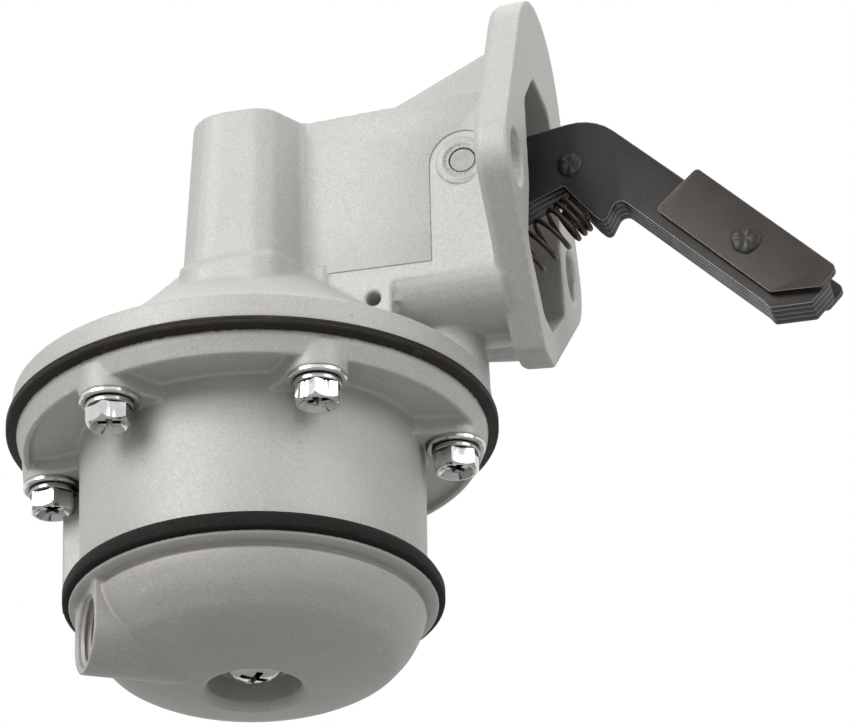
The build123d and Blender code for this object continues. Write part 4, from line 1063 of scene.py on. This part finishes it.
def make_cover_screw():
    """The cross-head screw in the cover's recess, with its washer."""
    low = RECESS_FLOOR - 1.0
    r, t = 5.5, 3.0
    profile = [(0, low), (r, low), (r, low - 1.0), (r - 0.5, low - 2.0), (r - 1.7, low - 2.7)]
    profile += [(r - 3.4, low - t), (0, low - t)]
    head = raw_object(lathe(profile, 96), "cover_head")
    cross = cross_recess((38, 128), (3.2, 0.7, low - t - 0.3), (1.5, 0.5, low - 0.9))
    boolean(head, cross, "DIFFERENCE")
    boolean(head, [rod((0, 0, low - 0.5), (0, 0, BODY_LOW + 10), 2.98, 48)], "UNION")
    soften(head, 0.12, 30)
    finish_piece(head, "housing", "cover_screw", SCREW, angle=24)
    top = RECESS_FLOOR
    ring = [(3.2, top), (6.6, top), (6.7, top - 0.15), (6.7, low + 0.15), (6.5, low), (3.2, low)]
    washer = lathe(ring, 72)
    piece("cover_washer_ring", washer, "housing", "cover_screw_washer", "washer_zinc", WASHER)


# Rocker arm


def hub_arc(start, end):
    """Points round the pivot at the hub's radius, every six degrees."""
    turns = [radians(a) for a in range(start, end, 6)]
    return [(PIVOT_X + HUB_R * cos(a), PIVOT_H + HUB_R * sin(a)) for a in turns]


def arm_outline():
    """Side outline of a lamination as (x, height) points."""
    corners = [
        ((58.6, 39.9), 2.0),
        ((63.9, 42.05), 0.4),
        ((69.5, 34.75), 0.5),
        ((71.6, 32.6), 1.0),
        ((74.45, 38.1), 1.6),
        ((101.6, 11.4), 1.5),
        ((102.8, 9.8), 0.8),
        ((110.8, 9.8), 0.9),
        ((114.7, 14.0), 0.9),
        ((70.3, 56.5), 10.5),
        ((46.7, 52.3), 0.0),
    ]
    top = hub_arc(96, 156)
    heel = [(38.3, 47.0), (35.0, 47.0), (33.5, 45.5), (33.5, 41.5), (43.2, 35.1)]
    low = hub_arc(250, 277)
    points = [c for c, r in corners] + top + heel + low
    radii = [r for c, r in corners] + [0] * (len(top) + len(heel) + len(low))
    return rounded(points, radii, 5)


def horn_outline():
    """The tongue on the two middle laminations that the spring sits over."""
    turn = Matrix.Rotation(SPRING_TILT, 2)
    shape = [(2, 2.2), (0, 2.4), (-4, 1.4), (-4, -1.4), (0, -2.4), (2, -2.2)]
    return [tuple(Vector(SPRING_TOP) + turn @ Vector(p)) for p in shape]


def make_arm():
    """The riveted stack of laminations with its wear pads and rivets."""
    for k in range(4):
        y = -STACK_HALF + k * LAMINATION_T
        bm = side_prism(arm_outline(), y + 0.02, y + LAMINATION_T - 0.02)
        bmesh.ops.recalc_face_normals(bm, faces=bm.faces)
        bmesh.ops.triangulate(bm, faces=[f for f in bm.faces if len(f.verts) > 4])
        bmesh.ops.dissolve_limit(bm, angle_limit=0.001, verts=bm.verts, edges=bm.edges)
        if k in (1, 2):
            bm = merge([bm, side_prism(horn_outline(), y + 0.1, y + LAMINATION_T - 0.1)])
        name = "lamination_%d" % (k + 1)
        edges = {"bevel": 0.22, "segments": 3, "angle": 50}
        piece(name, bm, "rocker", "arm_" + name, "arm_black_steel", ARM, **edges)
    pad = [(82.0, 33.4), (103.2, 12.4), (113.0, 12.2), (116.4, 15.8), (90.4, 41.3)]
    pad = rounded(pad, [1.2, 1.2, 1.4, 1.4, 1.0])
    outer = STACK_HALF + PAD_T
    for side, y0, y1 in (("near", -outer, -STACK_HALF), ("far", STACK_HALF, outer)):
        bm = side_prism(pad, y0, y1)
        edges = {"bevel": 0.3, "segments": 3, "angle": 50}
        piece("pad_" + side, bm, "rocker", "wear_pad_" + side, "pad_steel", PAD, **edges)
    rivet("pad_rivet_peened", PAD_RIVET, 3.0, 2.2, outer, "pad_rivet")
    rivet("arm_rivet_peened", ARM_RIVET, 2.5, 1.8, STACK_HALF, "arm_rivet")


def rivet(name, place, head_r, shank_r, half, replaced):
    """A rivet whose heads were peened over, a little uneven all round."""
    steps, rings = 72, 12
    verts = []
    for k in range(rings + 1):
        t = k / rings
        for i in range(steps):
            a = 2 * pi * i / steps
            wobble = 1 + 0.035 * sin(3 * a + 0.6) + 0.02 * sin(7 * a)
            r = head_r * sin(t * pi / 2) * wobble
            star = 0.10 * cos(5 * a + 0.4) * sin(pi * t) + 0.05 * sin(8 * a) * sin(pi * t) ** 2
            dish = 0.22 * max(0.0, 1 - t / 0.35)
            crown = 0.85 * cos(t * pi / 2) ** 0.8
            verts.append((r * cos(a), r * sin(a), half + crown - dish + star * 0.8))
    faces = grid_faces(rings + 1, steps)
    start = rings * steps
    faces.append(tuple(start + i for i in range(steps)))
    bm = shell(verts, faces)
    bmesh.ops.remove_doubles(bm, verts=bm.verts, dist=1e-4)
    other = bm.copy()
    other.transform(Matrix.Rotation(pi, 4, "X"))
    shank = rod((0, 0, -half), (0, 0, half), shank_r, 48)
    whole = merge([bm, other, shank])
    x, h = place
    whole.transform(Matrix.Translation((x, 0, h)) @ Matrix.Rotation(radians(90), 4, "X"))
    piece(name, whole, "rocker", replaced, "rivet_steel", RIVET, angle=60)


def coil(name, start, direction, pitches, phase=2.4):
    """The return spring's round wire; pitches gives the rise of each of its turns."""
    turn = direction.to_track_quat("Z", "Y").to_matrix()
    path = []
    rise = 0.0
    per_turn = 28
    for p in pitches:
        for k in range(per_turn):
            a = 2 * pi * k / per_turn + phase
            step = Vector((SPRING_MEAN_R * cos(a), SPRING_MEAN_R * sin(a), rise))
            path.append(start + turn @ step)
            rise += p / per_turn
    curve = bpy.data.curves.new("coil", "CURVE")
    curve.dimensions = "3D"
    curve.bevel_depth = SPRING_WIRE_R
    curve.bevel_resolution = 4
    curve.use_fill_caps = True
    spline = curve.splines.new("POLY")
    spline.points.add(len(path) - 1)
    for point, place in zip(spline.points, path):
        point.co = (*place, 1)
    obj = add_object("coil", curve)
    graph = bpy.context.evaluated_depsgraph_get()
    mesh = bpy.data.meshes.new_from_object(obj.evaluated_get(graph))
    bpy.data.objects.remove(obj)
    return add_object(name, mesh)


def make_spring():
    """The rocker return spring, closed at both ends."""
    way = Vector((cos(SPRING_TILT), 0, sin(SPRING_TILT)))
    top = Vector((SPRING_TOP[0], 0, SPRING_TOP[1]))
    pitches = [1.2, 2.9, 3.3, 3.3, 3.3, 3.3, 3.3, 1.7, 1.45, 1.25]
    start = top - way * (sum(pitches) + 0.6)
    wire = coil("return_spring_wire", start, way, pitches)
    finish_piece(wire, None, "rocker_return_spring", ARM_SPRING)
    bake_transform(wire)


# Camera, light and ground


def add_camera():
    """The photograph's camera."""
    a, e, r = (radians(v) for v in (CAMERA_AZIMUTH, CAMERA_ELEVATION, CAMERA_ROLL))
    back = Vector((sin(a) * cos(e), -cos(a) * cos(e), sin(e)))
    right = Vector((cos(a), sin(a), 0))
    up = back.cross(right)
    across = cos(r) * right + sin(r) * up
    upright = -sin(r) * right + cos(r) * up
    aim = right * CAMERA_AIM_RIGHT + Vector((0, 0, CAMERA_AIM_UP))
    place = TO_FRAME @ (aim + back * CAMERA_DISTANCE)
    data = bpy.data.cameras.new("camera")
    data.sensor_width = SENSOR_WIDTH
    data.lens = FOCAL_PIXELS / PHOTO_WIDTH * SENSOR_WIDTH
    data.clip_start, data.clip_end = 0.05, 20
    cam = add_object("camera", data)
    turn = Matrix((across, upright, back)).transposed().to_4x4()
    cam.matrix_world = Matrix.Translation(place) @ turn
    bpy.context.scene.camera = cam


def add_softbox(name, place, aim, size, power):
    """A square soft light."""
    data = bpy.data.lights.new(name, "AREA")
    data.shape = "RECTANGLE"
    data.size, data.size_y = size
    data.energy = power
    lamp = add_object(name, data)
    lamp.location = place
    lamp.rotation_mode = "QUATERNION"
    lamp.rotation_quaternion = (Vector(aim) - Vector(place)).to_track_quat("-Z", "Y")


def add_world():
    """White where the camera or a reflection sees it; otherwise an even light, weaker from below."""
    world = bpy.data.worlds.new("studio")
    bpy.context.scene.world = world
    world.use_nodes = True
    tree = world.node_tree
    background = tree.nodes["Background"]
    output = tree.nodes["World Output"]
    coord = add_node(tree, "TexCoord")
    split = add_node(tree, "SeparateXYZ")
    tree.links.new(coord.outputs["Generated"], split.inputs["Vector"])
    reach = add_node(tree, "MapRange", From_Min=-1.0)
    tree.links.new(split.outputs["Z"], reach.inputs["Value"])
    stops = [(place, grey(tone)) for place, tone in SKY]
    sky = ramp(tree, reach.outputs["Result"], stops)
    tree.links.new(sky, background.inputs["Color"])
    white = add_node(tree, "Background", Color=(1, 1, 1, 1))
    paths = add_node(tree, "LightPath")
    seen = paths.outputs["Is Camera Ray"]
    for ray in ("Is Glossy Ray", "Is Transmission Ray"):
        either = add_node(tree, "Math")
        either.operation = "MAXIMUM"
        tree.links.new(seen, either.inputs[0])
        tree.links.new(paths.outputs[ray], either.inputs[1])
        seen = either.outputs["Value"]
    blend = add_node(tree, "MixShader")
    tree.links.new(seen, blend.inputs["Fac"])
    tree.links.new(background.outputs["Background"], blend.inputs[1])
    tree.links.new(white.outputs["Background"], blend.inputs[2])
    tree.links.new(blend.outputs["Shader"], output.inputs["Surface"])


def add_floor():
    """A plain pale floor, well below the camera."""
    bm = bmesh.new()
    half = 2.2
    corners = [(-half, -half), (half, -half), (half, half), (-half, half)]
    bm.faces.new([bm.verts.new((x, y, FLOOR_Z)) for x, y in corners])
    mesh = bpy.data.meshes.new("floor")
    bm.to_mesh(mesh)
    bm.free()
    floor = add_object("floor", mesh)
    mat, shader, tree = new_material("floor_paper")
    speck = noise_node(tree, 40, 3, 0.5)
    paper = mix(tree, span(tree, speck, 0.0, 1.0), grey(0.58), grey(0.62))
    tree.links.new(paper, shader.inputs["Base Color"])
    shader.inputs["Roughness"].default_value = 0.9
    mesh.materials.append(mat)


make_housing()
side_panel()
stake_ring(1)
stake_ring(-1)
pin_end()
make_valve_body()
make_cover()
make_seals()
make_fasteners()
make_cover_screw()
make_arm()
make_spring()
add_camera()
add_world()
add_floor()
add_softbox("key", (-0.75, -1.15, 0.55), (0, 0, 0), (0.8, 0.8), 13)
add_softbox("side", (1.15, -0.55, 0.35), (0, 0, 0), (0.7, 0.7), 5)
add_softbox("top", (0.1, 0.3, 1.3), (0, 0, 0), (1.0, 1.0), 5)
bpy.context.scene.view_settings.view_transform = "Standard"
